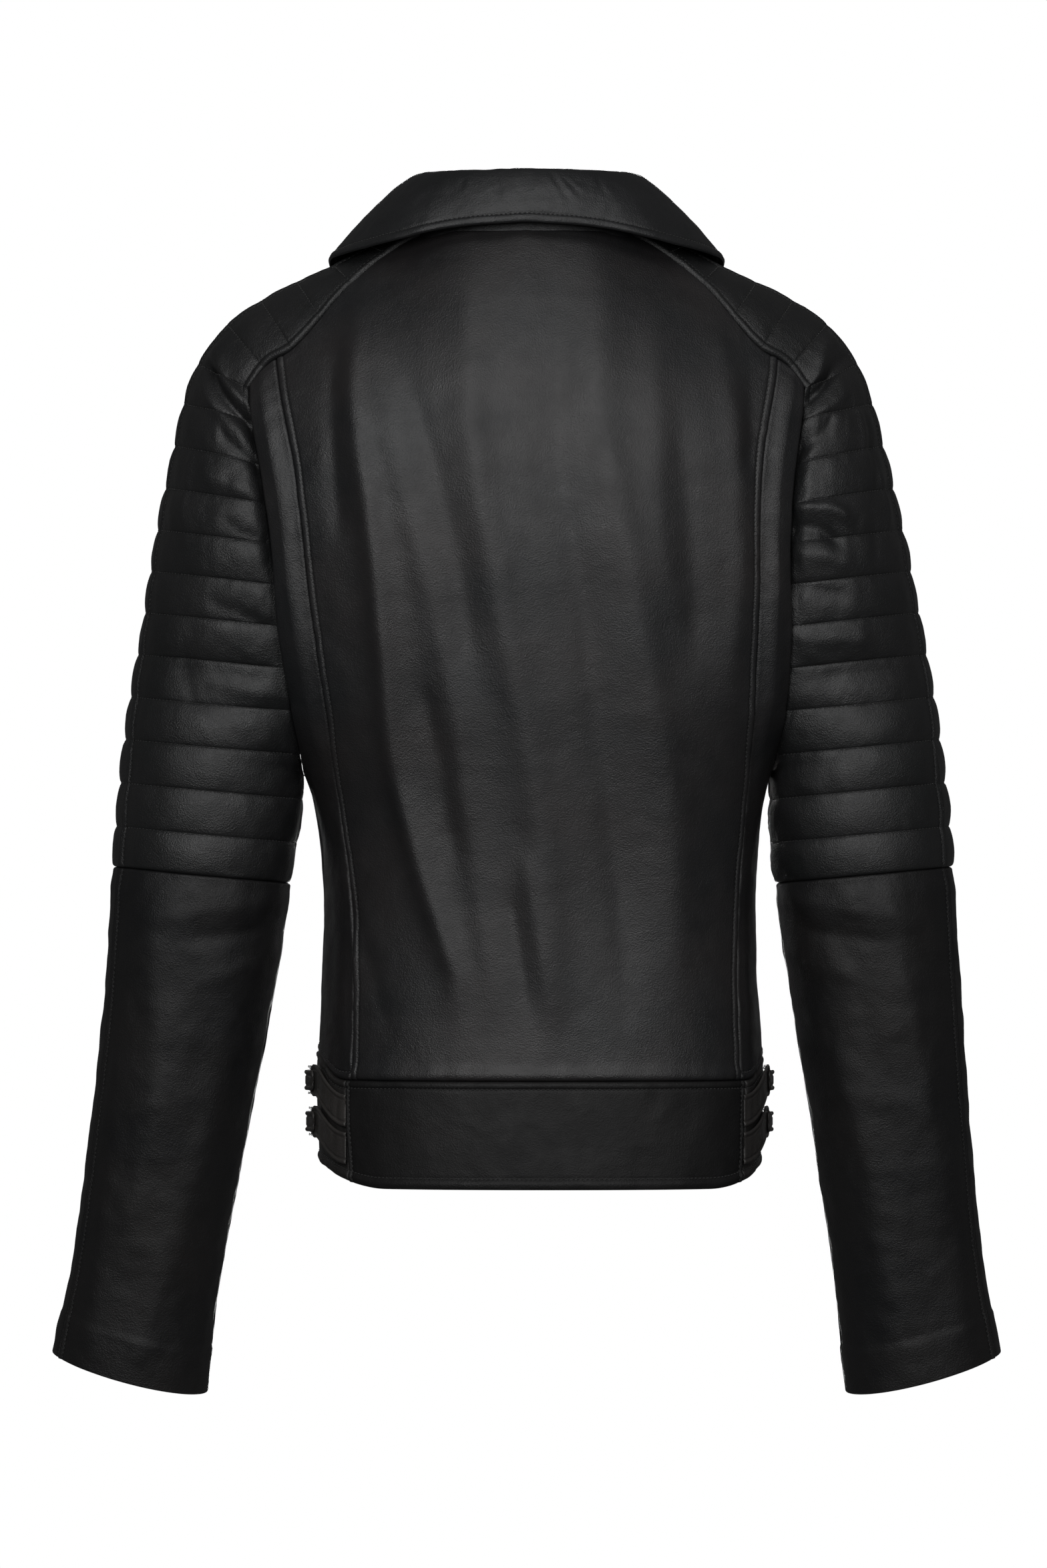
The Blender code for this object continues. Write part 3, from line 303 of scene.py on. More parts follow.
def sleeve(share, channel, hand):
    """Upper sleeve surface: share 0 on the outer line, 1 at the back seam, -1 at the front seam."""
    share, channel = np.broadcast_arrays(np.asarray(share, float), np.asarray(channel, float))
    row = curve(SLEEVE, channel)
    back = share >= 0
    centre_y = row[..., 2]
    seam_x = np.where(back, row[..., 3], row[..., 6])
    seam_z = np.where(back, row[..., 4], row[..., 7])
    tops = np.where(back, raglan_z(seam_x, -1), raglan_z(seam_x, 1))
    edges = np.where(back, armhole_x(seam_z, -1), armhole_x(seam_z, 1))
    seam_z = np.where(channel <= 6, tops, seam_z)
    seam_x = np.where((channel > 6) & (seam_z > ARMPIT_Z), edges, seam_x)
    on_back, on_front = [torso(angle_at(seam_x, seam_z, side), seam_z, side)[..., 1] for side in (-1, 1)]
    seam_y = np.where(back, on_back, on_front)
    seam_y = seam_y + (centre_y - seam_y) * ease((channel - 15.5) / 2.5)
    run = np.abs(seam_y - centre_y)
    last = np.radians(np.where(back, row[..., 5], row[..., 8]))
    tube = np.maximum(ARM_DEPTH, run * 1.02)
    free = ease((channel - 11) / 2)
    last = last + (math.pi - np.arcsin(run / tube) - last) * free
    depth = np.where(free < 1, run / np.maximum(np.sin(last), 0.2), tube)
    turn = np.abs(share) * last
    along = (1 - np.cos(turn)) / (1 - np.cos(last))
    x = row[..., 0] + (seam_x - row[..., 0]) * along
    z = row[..., 1] + (seam_z - row[..., 1]) * along
    y = centre_y - np.where(back, 1, -1) * depth * np.sin(turn)
    apart = ease((channel - 15) / 2.5)
    seam_shift = twist_shift(seam_y, seam_z) * (1 - apart) + arm_shift(seam_z) * apart
    shift = arm_shift(row[..., 1]) * (1 - along) + seam_shift * along
    return np.stack([hand * x + shift, y, z], axis=-1)


def forearm(share, length, hand):
    """Lower sleeve surface, with the same sharing round it."""
    share, length = np.broadcast_arrays(np.asarray(share, float), np.asarray(length, float))
    row = curve(FOREARM, length)
    back = share >= 0
    along = (1 - np.cos(np.abs(share) * math.pi)) / 2
    depth = np.where(back, row[..., 4], row[..., 5])
    x = row[..., 0] + (row[..., 2] - row[..., 0]) * along
    z = row[..., 1] + (row[..., 3] - row[..., 1]) * along
    y = row[..., 6] - np.where(back, 1, -1) * depth * np.sin(np.abs(share) * math.pi)
    return np.stack([hand * x + arm_shift(z), y, z], axis=-1)


def outward(grid, core):
    """Unit normals of a grid of points, turned away from the core points."""
    normal = np.cross(np.gradient(grid, axis=0), np.gradient(grid, axis=1))
    normal /= np.maximum(np.linalg.norm(normal, axis=-1, keepdims=True), 1e-9)
    facing = np.sum(normal * (grid - core))
    return normal if facing > 0 else -normal


def torso_core(grid):
    return grid * np.array([0.3, 0, 1]) + np.array([0, TORSO_CENTRE_Y, 0])


def centre_angle(z):
    return angle_at(curve(BACK_SEAM, -z)[..., 0], z, -1)


def zip_edge(z):
    return angle_at(PANEL_EDGE, z, 1)


def ring(around, z):
    """Torso point by the angle all the way round: 0 at the centre back, 90 at the side, 180 at the front."""
    around = np.asarray(around, float)
    behind = torso(np.clip(around, -90, 90), z, -1)
    ahead = torso(np.sign(around) * (180 - np.abs(around)), z, 1)
    return np.where((np.abs(around) <= 90)[..., None], behind, ahead)


def neck_line(stations, share):
    points = curve(stations, np.abs(share))
    points[..., 0] *= np.where(share < 0, -1, 1)
    return points


def settled(grid, first):
    """The grid moved out from the shoulders and fronts, from its first row on, until it clears them."""
    channel = np.linspace(0, 8, 60)[None, :]
    share = np.linspace(-1, 1, 81)[:, None]
    spots = []
    normals = []
    for hand in (-1, 1):
        shoulder = sleeve(share, channel, hand)
        core = shoulder.copy()
        core[..., 1] = TORSO_CENTRE_Y
        core[..., 2] = np.minimum(core[..., 2], -0.1)
        core[..., 0] *= 0.8
        front = torso(np.linspace(0, 60, 40)[:, None] * hand, np.linspace(-0.17, -0.03, 40)[None, :], 1)
        for surface, middle in ((shoulder, core), (front, torso_core(front))):
            spots.append(surface.reshape(-1, 3))
            normals.append(outward(surface, middle).reshape(-1, 3))
    spots = np.concatenate(spots)
    normals = np.concatenate(normals)
    grid = grid.copy()
    for point in grid[first:].reshape(-1, 3):
        for _ in range(4):
            nearest = int(np.argmin(np.sum((spots - point) ** 2, axis=1)))
            short = COLLAR + COLLAR_REST - np.dot(point - spots[nearest], normals[nearest])
            point += normals[nearest] * max(short, 0.0)
    return grid


def side_frame(hand, z):
    """Distances from the buckles' middle along the torso ring at a height, and the points there."""
    around = hand * np.linspace(20, 175, 621)
    points = ring(around, np.full_like(around, z))
    length = run_along(points)
    length -= np.interp(90, np.abs(around), length) + BUCKLE_FORWARD
    return length, points


def on_side(hand, z, spots, across):
    """Points at (distance along the ring, height off it) spots and offsets across, as a grid."""
    length, points = side_frame(hand, z)
    before, base, ahead = [between(spots[:, 0] + step, length, points) for step in (-0.002, 0, 0.002)]
    tangent = unit(ahead - before)
    normal = hand * np.stack([tangent[:, 1], -tangent[:, 0], 0 * tangent[:, 0]], axis=-1)
    flat = base + normal * spots[:, 1:2]
    grid = np.repeat(flat[:, None, :], across.shape[1], axis=1)
    grid[..., 2] = z + across
    return grid


def arc(centre, radius, start, end, count):
    turn = np.radians(np.linspace(start, end, count))
    return np.stack([centre[0] + radius * np.cos(turn), centre[1] + radius * np.sin(turn)], axis=-1)


# ---------------------------------------------------------------- meshes

def noise(points, size, seed=0):
    """Smooth random values, about -0.7 to 0.7, with features of the given size in each direction."""
    points = np.asarray(points, float) / np.asarray(size, float)
    cell = np.floor(points)
    inside = points - cell
    cell = cell.astype(np.int64)
    fade = inside**3 * (inside * (inside * 6 - 15) + 10)
    total = np.zeros(points.shape[:-1])
    count = points.shape[-1]
    for corner in range(2**count):
        bits = np.array([(corner >> k) & 1 for k in range(count)])
        spot = cell + bits
        mixed = spot[..., 0] * 374761393 + spot[..., 1] * 668265263 + (seed + 7) * 1274126177
        if count > 2:
            mixed = mixed + spot[..., 2] * 2246822519
        mixed = mixed & 0xFFFFFFFF
        mixed = ((mixed ^ (mixed >> 13)) * 1274126177) & 0xFFFFFFFF
        mixed = mixed ^ (mixed >> 16)
        share = np.prod(np.where(bits, fade, 1 - fade), axis=-1)
        slope = sum(((mixed >> (8 * k)) & 0xFF) / 127.5 * (inside - bits)[..., k] for k in range(count))
        slope = slope - np.sum(inside - bits, axis=-1)
        total += share * slope
    return total


def wobble(a, b, seed):
    """Smooth random values over two measures, with features about 1 in size."""
    return noise(np.stack(np.broadcast_arrays(a, b), axis=-1), 1.0, seed)


def placed(name, data):
    """A new object with this data, in the scene."""
    obj = bpy.data.objects.new(name, data)
    bpy.context.scene.collection.objects.link(obj)
    return obj


def make(name, points, faces, material, replaced=()):
    """A smooth-shaded piece of the jacket, from arrays of points and of equal-sided faces."""
    faces = np.asarray(faces)
    a = points[faces[:, 0]]
    volume = 0.0
    for k in range(1, faces.shape[1] - 1):
        volume += np.sum(a * np.cross(points[faces[:, k]], points[faces[:, k + 1]]))
    if volume < 0:
        faces = faces[:, ::-1]
    mesh = bpy.data.meshes.new(name)
    mesh.vertices.add(len(points))
    mesh.vertices.foreach_set("co", np.ascontiguousarray(points, np.float32).ravel())
    mesh.loops.add(faces.size)
    mesh.loops.foreach_set("vertex_index", np.ascontiguousarray(faces, np.int32).ravel())
    mesh.polygons.add(len(faces))
    mesh.polygons.foreach_set("loop_start", np.arange(0, faces.size, faces.shape[1], dtype=np.int32))
    mesh.update(calc_edges=True)
    mesh.shade_smooth()
    mesh.materials.append(material)
    obj = placed(name, mesh)
    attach(obj, "jacket")
    if replaced:
        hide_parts(*replaced)
    return obj


def sheet_faces(rows, columns, wrap=False):
    """Quads of a closed sheet: an outer grid of points, then an inner one."""
    index = np.arange(rows * columns).reshape(rows, columns)
    ahead = np.roll(index, -1, axis=1) if wrap else index[:, 1:]
    here = index if wrap else index[:, :-1]
    outer = np.stack([here[:-1], here[1:], ahead[1:], ahead[:-1]], axis=-1).reshape(-1, 4)
    inner = outer[:, [0, 3, 2, 1]] + rows * columns
    edges = [(here[0], ahead[0], 1), (here[-1], ahead[-1], -1)]
    if not wrap:
        edges += [(index[:-1, 0], index[1:, 0], -1), (index[:-1, -1], index[1:, -1], 1)]
    rims = []
    for near, far, turn in edges:
        quad = np.stack([near, far, far + rows * columns, near + rows * columns], axis=-1)
        rims.append(quad[:, ::turn])
    return np.concatenate([outer, inner, *rims])


def reach(grid):
    """Distances along the grid lines from the first row, last row, first column and last column."""
    found = []
    for axis in (0, 1):
        step = np.linalg.norm(np.diff(grid, axis=axis), axis=-1)
        run = np.cumsum(step, axis=axis)
        run = np.insert(run, 0, 0, axis=axis)
        found += [run, np.take(run, [-1], axis=axis) - run]
    return found


# Distances from an edge at which a grid has lines, fine near the edge and on both sides of the stitching
EDGE_LINES = np.array((
    0, 0.0002, 0.0006, 0.0011, 0.0017, 0.0024, 0.0032, 0.0038, 0.0044, 0.0049, 0.0054, 0.006, 0.0068, 0.008,
    0.0098, 0.0122,
))
PLAIN_LINES = np.array([0, 0.0003, 0.0009, 0.0018, 0.0032])
FINE = (EDGE_LINES, EDGE_LINES)
PLAIN = (PLAIN_LINES, PLAIN_LINES)


def spread(total, first, last, middle):
    """Distances of the grid lines over a length, in columns: near the first edge, between, near the last."""
    total = np.asarray(total, float)
    room = np.minimum(1.0, 0.46 * total / max(first[-1] + last[-1], 1e-9) * 2)
    near = first[:, None] * room
    far = total - last[::-1, None] * room
    share = np.linspace(0, 1, middle + 2)[1:-1, None]
    return np.concatenate([near, near[-1] + (far[0] - near[-1]) * share, far])


def laid(surface, across=FINE, down=FINE, spacing=SPACING, dense=70):
    """A surface of (u, v) from 0 to 1 as a grid whose lines keep their distances from the four edges.
    down can also be a plain list of v values."""
    u = v = np.linspace(0, 1, dense)
    run_u, _, run_v, _ = reach(surface(*np.meshgrid(u, v, indexing="ij")))
    wanted = spread(run_u[-1], *across, max(2, int(run_u[-1].mean() / spacing)))
    table_u = np.stack([np.interp(wanted[:, k], run_u[:, k], u) for k in range(dense)], axis=1)
    if isinstance(down, np.ndarray):
        v_grid = np.repeat(down[None, :], len(table_u), axis=0)
        u_grid = np.stack([np.interp(down, v, row) for row in table_u])
        return surface(u_grid, v_grid), u_grid, v_grid
    wanted = spread(run_v[:, -1], *down, max(2, int(run_v[:, -1].mean() / spacing)))
    table_v = np.stack([np.interp(wanted[:, k], run_v[k], v) for k in range(dense)])
    columns = table_v.shape[1]
    u_grid = np.repeat(table_u.mean(axis=1)[:, None], columns, axis=1)
    for _ in range(3):
        v_grid = np.stack([np.interp(u_grid[:, k], u, table_v[:, k]) for k in range(columns)], axis=1)
        u_grid = np.stack([np.interp(v_grid[k], v, row) for k, row in enumerate(table_u)])
    return surface(u_grid, v_grid), u_grid, v_grid


def rounded(s, radius):
    """How far an edge of this radius has dropped at a distance s from it."""
    t = np.clip(1 - s / radius, 0, 1)
    return radius * (1 - np.sqrt(np.maximum(1 - t * t, 0)))


def seam(s, along, radius=0.0022, stitch=0.005, swell=0.0005, pucker=0.0005, size=0.0085, seed=0):
    """Height along a seam edge: it rolls down into the seam, swells, sinks at its stitches and puckers."""
    height = -rounded(s, radius)
    if stitch:
        height -= 0.0007 * ridge(s, stitch, 0.0007)
        height += swell * ridge(s, stitch * 0.5, stitch * 0.42)
    wave = wobble(along / size, s / 0.035, seed)
    fine = wobble(along / (size * 0.4), s / 0.02, seed + 1)
    fade = np.exp(-s / 0.01) * ease(s / 0.0012)
    return height + pucker * (1.5 * wave + 0.7 * fine) * fade


def folds(run, across, table):
    """Soft folds: each row is a height, a width and the (run, across) points of the fold's crest."""
    total = np.zeros(np.broadcast(run, across).shape)
    for height, width, spots in table:
        spots = np.array(sorted(spots), float)
        key = spots[:, 0]
        crest = curve(spots, run)[..., 0]
        end = 0.3 * (key[-1] - key[0])
        fade = ease((run - key[0]) / end + 0.5) * ease((key[-1] - run) / end + 0.5)
        off = (across - crest) / width
        total += height * fade / (1 + off * off) ** 1.5
    return total


threads = {}


def stitch(group, line, normal):
    """Adds stitches to a group, along a line of points with the surface's normals."""
    run = run_along(line)
    if run[-1] < 3 * STITCH_PITCH:
        return
    centre = np.arange(STITCH_PITCH, run[-1] - STITCH_PITCH * 0.5, STITCH_PITCH)
    start, end = [between(centre + reached, run, line) for reached in (-STITCH_LENGTH / 2, STITCH_LENGTH / 2)]
    up = unit(between(centre, run, normal))
    ahead = unit(end - start)
    side = unit(np.cross(up, ahead)) + ahead * STITCH_LEAN
    points = [start - up * THREAD_RADIUS * 1.1]
    for share in (0.28, 0.72):
        middle = start * (1 - share) + end * share + up * (THREAD_RADIUS * 0.55)
        for turn in np.radians([0, 72, 144, 216, 288]):
            points.append(middle + THREAD_RADIUS * (math.sin(turn) * side + math.cos(turn) * up))
    points.append(end - up * THREAD_RADIUS * 1.1)
    faces = []
    for k in range(5):
        after = (k + 1) % 5
        faces += [(0, 1 + after, 1 + k), (1 + k, 1 + after, 6 + after)]
        faces += [(1 + k, 6 + after, 6 + k), (11, 6 + k, 6 + after)]
    made = threads.setdefault(group, {"points": [], "faces": [], "count": 0})
    offset = made["count"] + 12 * np.arange(len(centre))[:, None, None]
    made["points"].append(np.stack(points, axis=1).reshape(-1, 3))
    made["faces"].append((np.array(faces)[None] + offset).reshape(-1, 3))
    made["count"] += 12 * len(centre)


def contour(values, distance, wanted, axis):
    """Where the distance along each grid line reaches the wanted one, for grids of values."""
    distance, *values = [np.moveaxis(v, axis, 0) for v in (distance, *values)]
    middle = distance.shape[1] // 2
    if distance[0, middle] > distance[-1, middle]:
        distance, *values = [v[::-1] for v in (distance, *values)]
    after = np.clip(np.sum(distance < wanted, axis=0), 1, len(distance) - 1)
    columns = np.arange(distance.shape[1])
    low = distance[after - 1, columns]
    high = distance[after, columns]
    share = np.clip((wanted - low) / np.maximum(high - low, 1e-9), 0, 1)[:, None]
    return [v[after - 1, columns] * (1 - share) + v[after, columns] * share for v in values]


def along_edge(group, skinned, edge, wanted, trim=(0, 0)):
    """Stitches at a distance from one edge of a skinned panel: edge 0 to 3 as reach() orders them."""
    outer, normal, runs = skinned
    line, up = contour([outer, normal], runs[edge], wanted, edge // 2)
    last = len(line) - trim[1]
    stitch(group, line[trim[0]:last], up[trim[0]:last])


def skin(node, ending, grid, core, height, thickness, material, free=(), wrap=False, name=None):
    """A closed sheet in place of a CAD node, whose outside is the grid raised by the heights. free lists the
    edges that are rounded: 0 first row, 1 last row, 2 first column, 3 last column."""
    if wrap:
        doubled = np.concatenate([grid[:, -2:], grid, grid[:, :2]], axis=1)
        normal = outward(doubled, np.concatenate([core[:, -2:], core, core[:, :2]], axis=1))[:, 2:-2]
    else:
        normal = outward(grid, core)
    runs = reach(grid)
    drop = np.zeros(grid.shape[:2])
    for edge in free:
        drop = np.maximum(drop, rounded(runs[edge], thickness * 0.5) * 0.96)
    outer = grid + normal * (height - drop)[..., None]
    inner = grid + normal * (height - thickness + drop)[..., None]
    points = np.concatenate([outer.reshape(-1, 3), inner.reshape(-1, 3)])
    name = name or f"{node}_{ending}"
    obj = make(name, points, sheet_faces(*grid.shape[:2], wrap), material, [node])
    return obj, (outer, outward(outer, core), runs)


def patch(control, u, v):
    """Smooth surface through a grid of control points."""

    def share(t, count):
        x = np.clip(t, 0, 1) * (count - 1)
        i = np.minimum(x.astype(int), count - 2)
        f = x - i
        weights = (
            -0.5 * f + f**2 - 0.5 * f**3,
            1 - 2.5 * f**2 + 1.5 * f**3,
            0.5 * f + 2 * f**2 - 1.5 * f**3,
            -0.5 * f**2 + 0.5 * f**3,
        )
        return i, weights

    wide = np.concatenate([2 * control[:1] - control[1:2], control, 2 * control[-1:] - control[-2:-1]])
    wide = np.concatenate([2 * wide[:, :1] - wide[:, 1:2], wide, 2 * wide[:, -1:] - wide[:, -2:-1]], axis=1)
    i, across = share(u, control.shape[0])
    j, down = share(v, control.shape[1])
    total = 0
    for a in range(4):
        for b in range(4):
            total = total + (across[a] * down[b])[..., None] * wide[i + a, j + b]
    return total


# ---------------------------------------------------------------- materials

def feed(tree, node, values):
    """Sets a node's inputs by name, to a number or a colour, or links another node's output to them."""
    for name, value in values.items():
        if isinstance(value, bpy.types.NodeSocket):
            tree.links.new(value, node.inputs[name])
        else:
            node.inputs[name].default_value = value


def added(tree, kind, values):
    node = tree.nodes.new(kind)
    feed(tree, node, values)
    return node


def node_material(name):
    made = bpy.data.materials.new(name)
    made.use_nodes = True
    tree = made.node_tree
    return made, tree, tree.nodes["Principled BSDF"], tree.nodes.new("ShaderNodeTexCoord").outputs["Object"]


def textured(tree, kind, where, scale, detail=2.0, rough=0.5, stretch=None):
    """A noise or Voronoi texture of the object's own coordinates, in features per metre."""
    if stretch:
        where = added(tree, "ShaderNodeMapping", {"Scale": stretch, "Vector": where}).outputs["Vector"]
    return added(tree, kind, {"Scale": scale, "Detail": detail, "Roughness": rough, "Vector": where})


def grained(tree, where, scale, detail, rough, stretch=None):
    return textured(tree, "ShaderNodeTexNoise", where, scale, detail, rough, stretch).outputs["Fac"]


def ramp(tree, source, low, high):
    """A blend between two (place, colour) stops, by a value from 0 to 1. A single number makes a grey."""
    made = added(tree, "ShaderNodeValToRGB", {"Fac": source})
    for element, (place, colour) in zip(made.color_ramp.elements, (low, high)):
        element.position = place
        element.color = (*colour, 1) if isinstance(colour, tuple) else (colour, colour, colour, 1)
    return made.outputs["Color"]


def bumped(tree, height, distance, strength, before=None):
    values = {"Distance": distance, "Strength": strength, "Height": height}
    if before:
        values["Normal"] = before
    return added(tree, "ShaderNodeBump", values).outputs["Normal"]


def leather(name, dark, light, roughness, grain=0.5, gloss_level=0.5):
    """Black leather: pebble grain with fine creases, and slow changes of colour and gloss."""
    made, tree, shader, where = node_material(name)
    slow = grained(tree, where, 16, 3, 0.55)
    gloss = grained(tree, where, 55, 4, 0.6)
    crumple = grained(tree, where, 70, 5, 0.6)
    crease = grained(tree, where, 240, 4, 0.65)
    pebble = textured(tree, "ShaderNodeTexVoronoi", where, 980)
    normal = bumped(tree, crumple, 0.0024, 0.26 * grain)
    normal = bumped(tree, crease, 0.0009, 0.4 * grain, normal)
    feed(tree, shader, {
        "Base Color": ramp(tree, slow, (0.32, dark), (0.7, light)),
        "Roughness": ramp(tree, gloss, (0.3, roughness - 0.07), (0.72, roughness + 0.09)),
        "Normal": bumped(tree, pebble.outputs["Distance"], 0.00034, 1.0 * grain, normal),
        "Specular IOR Level": gloss_level,
        "Coat Weight": 0.12 * gloss_level,
        "Coat Roughness": 0.38,
    })
    return made


def woven(name, dark, light, roughness, scale):
    """Woven cloth: two crossed sets of threads, with a little sheen."""
    made, tree, shader, where = node_material(name)
    both = tree.nodes.new("ShaderNodeMath")
    both.operation = "MULTIPLY"
    for number, direction in enumerate(("X", "Z")):
        wave = added(tree, "ShaderNodeTexWave", {"Scale": scale, "Distortion": 0.6, "Vector": where})
        wave.bands_direction = direction
        tree.links.new(wave.outputs["Fac"], both.inputs[number])
    feed(tree, shader, {
        "Base Color": ramp(tree, both.outputs[0], (0.0, dark), (0.8, light)),
        "Normal": bumped(tree, both.outputs[0], 0.0002, 0.5),
        "Roughness": roughness,
        "Sheen Weight": 0.15,
    })
    return made


def metal(name, colour, roughness):
    """Dark plated metal with fine scratches and uneven gloss."""
    made, tree, shader, where = node_material(name)
    worn = grained(tree, where, 260, 5, 0.6)
    scratch = grained(tree, where, 900, 2, 0.5, (1.0, 1.0, 0.12))
    light = tuple(min(1.0, c * 1.5) for c in colour)
    feed(tree, shader, {
        "Base Color": ramp(tree, worn, (0.35, colour), (0.75, light)),
        "Roughness": ramp(tree, worn, (0.3, roughness - 0.07), (0.7, roughness + 0.12)),
        "Normal": bumped(tree, scratch, 0.00004, 0.15),
        "Metallic": 1.0,
    })
    return made


BODY_LEATHER = leather("body_leather", (0.0098, 0.0104, 0.0114), (0.0184, 0.0165, 0.0167), 0.43)
# Back and front waistbands: a darker, less glossy copy of the black leather, painted shade for the darker
# bottom of the jacket
SHADED_WAIST_LEATHER = leather("waist_leather_painted_shade", (0.007, 0.0069, 0.0072), (0.0115, 0.011, 0.011), 0.54, 0.5, 0.26)
SLEEVE_LEATHER = leather("sleeve_leather", (0.008, 0.0087, 0.009), (0.0138, 0.0136, 0.0142), 0.43, 0.62)
# Lower sleeves: a darker, less glossy copy of the black leather, painted shade for the light falling off
# towards the cuffs
SHADED_FOREARM_LEATHER = leather(
    "forearm_leather_painted_shade", (0.0072, 0.0074, 0.0082), (0.0122, 0.0114, 0.0114), 0.48, 0.62, 0.34
)
COLLAR_LEATHER = leather("collar_leather", (0.009, 0.0095, 0.0103), (0.0144, 0.0148, 0.0158), 0.47)
STRAP_LEATHER = leather("strap_leather", (0.022, 0.0206, 0.0198), (0.046, 0.042, 0.0392), 0.48)
SIDE_BAND_LEATHER = leather(
    "side_band_leather", (0.014, 0.0134, 0.0131), (0.028, 0.0262, 0.025), 0.5, 0.5, 0.42
)
LINING_SATIN = woven("lining_satin", (0.006, 0.006, 0.0068), (0.013, 0.013, 0.0145), 0.42, 700)
TAPE_CLOTH = woven("zip_tape", (0.006, 0.006, 0.0065), (0.015, 0.015, 0.016), 0.75, 420)
THREAD = woven("thread", (0.004, 0.004, 0.0042), (0.012, 0.0118, 0.012), 0.6, 1100)
METAL = metal("dark_metal", (0.17, 0.17, 0.18), 0.34)

# ---------------------------------------------------------------- torso

BACK_FOLD_SPREAD = 1.32
# Back folds: height, width, then the crest's points as drop and distance to the right of the centre
BACK_FOLDS = (
    (0.0062, 0.009, ((0.045, -0.112), (0.126, -0.108), (0.182, -0.0996), (0.254, -0.093), (0.339, -0.0826),
                      (0.399, -0.0677), (0.48, -0.044))),
    (0.0026, 0.0105, ((0.085, -0.097), (0.182, -0.073), (0.275, -0.052), (0.382, -0.035), (0.5, -0.018))),
    (0.0046, 0.0135, ((0.03, -0.036), (0.118, -0.036), (0.212, -0.021), (0.271, -0.0105), (0.322, 0.0),
                      (0.382, 0.01), (0.5, 0.018))),
    (0.0042, 0.0135, ((0.04, 0.046), (0.118, 0.048), (0.178, 0.059), (0.254, 0.071), (0.305, 0.08),
                      (0.373, 0.091), (0.46, 0.094))),
    (0.002, 0.011, ((0.06, 0.078), (0.11, 0.082), (0.17, 0.083), (0.23, 0.088))),
    (0.0026, 0.009, ((0.045, 0.122), (0.126, 0.133), (0.212, 0.135), (0.29, 0.13))),
    (-0.0026, 0.006, ((0.085, -0.1235), (0.126, -0.122), (0.19, -0.119))),
    (-0.0024, 0.01, ((0.09, -0.08), (0.17, -0.054), (0.233, -0.041), (0.275, -0.037))),
    (-0.003, 0.011, ((0.06, 0.02), (0.139, 0.0185), (0.233, 0.0355), (0.318, 0.046), (0.382, 0.0557),
                       (0.48, 0.064))),
    (-0.002, 0.0095, ((0.115, 0.097), (0.16, 0.101), (0.212, 0.1047), (0.27, 0.106))),
    (-0.0018, 0.008, ((0.29, -0.068), (0.339, -0.057), (0.4, -0.044))),
    (-0.0022, 0.0055, ((0.065, 0.143), (0.11, 0.144), (0.15, 0.142))),
    (0.0018, 0.007, ((0.4, 0.0), (0.45, 0.008), (0.51, 0.016))),
    (-0.0012, 0.005, ((0.425, -0.01), (0.46, -0.004), (0.505, 0.002))),
    (0.0016, 0.007, ((0.44, -0.105), (0.47, -0.112), (0.52, -0.118))),
    (-0.0014, 0.006, ((0.43, -0.112), (0.47, -0.1), (0.515, -0.09))),
)


def cloth_noise(points, height=0.001, size=0.04, seed=0):
    """Gentle unevenness of worn leather, in three sizes."""
    total = noise(points, size, seed) + 0.45 * noise(points, size * 0.42, seed + 1)
    return height * (total + 0.22 * noise(points, size * 0.17, seed + 2))


def waist_z(around):
    """Height of the waistband's upper seam, by the angle from the centre back."""
    return WAIST_SEAM_Z + WAIST_RISE * ease((np.abs(around) - SIDE_BAND_BACK) / WAIST_TURN)


def hem_z(around):
    """Height of the hem, by the angle from the centre back."""
    return HEM_Z + HEM_RISE * ease((np.abs(around) - HEM_TURN_START) / HEM_TURN)


def lining_end(around):
    return hem_z(around) + HEM_TURN_UP


def torso_surface(first, last, side, bottom=waist_z):
    """Surface of (u, v) from the neck or raglan seam down, between two edges given as angles by height."""
    u = np.linspace(0, 1, 80)[:, None]
    top = np.full_like(u, -0.05)
    for _ in range(60):
        angle = first(top) + (last(top) - first(top)) * u
        place = torso(angle, top, side)
        top = 0.6 * top + 0.4 * raglan_z(place[..., 0] - twist_shift(place[..., 1], top), side)

    def surface(across, down):
        start = np.interp(across, u[:, 0], top[:, 0])
        angle = first(start) + (last(start) - first(start)) * across
        z = start
        for _ in range(3):
            around = np.abs(angle) if side < 0 else 180 - np.abs(angle)
            z = start + (bottom(around) - start) * down
            angle = first(z) + (last(z) - first(z)) * across
        return torso(angle, z, side)

    return surface


def unturned(grid):
    """The grid's distance to the right of the centre line, without the twist of the lower body."""
    return grid[..., 0] - twist_shift(grid[..., 1], grid[..., 2])


def panel(node, grid, height, thickness=LEATHER, material=BODY_LEATHER, free=()):
    core = torso_core(grid)
    return skin(node, "leather", grid, core, height, thickness, material, free)[1]


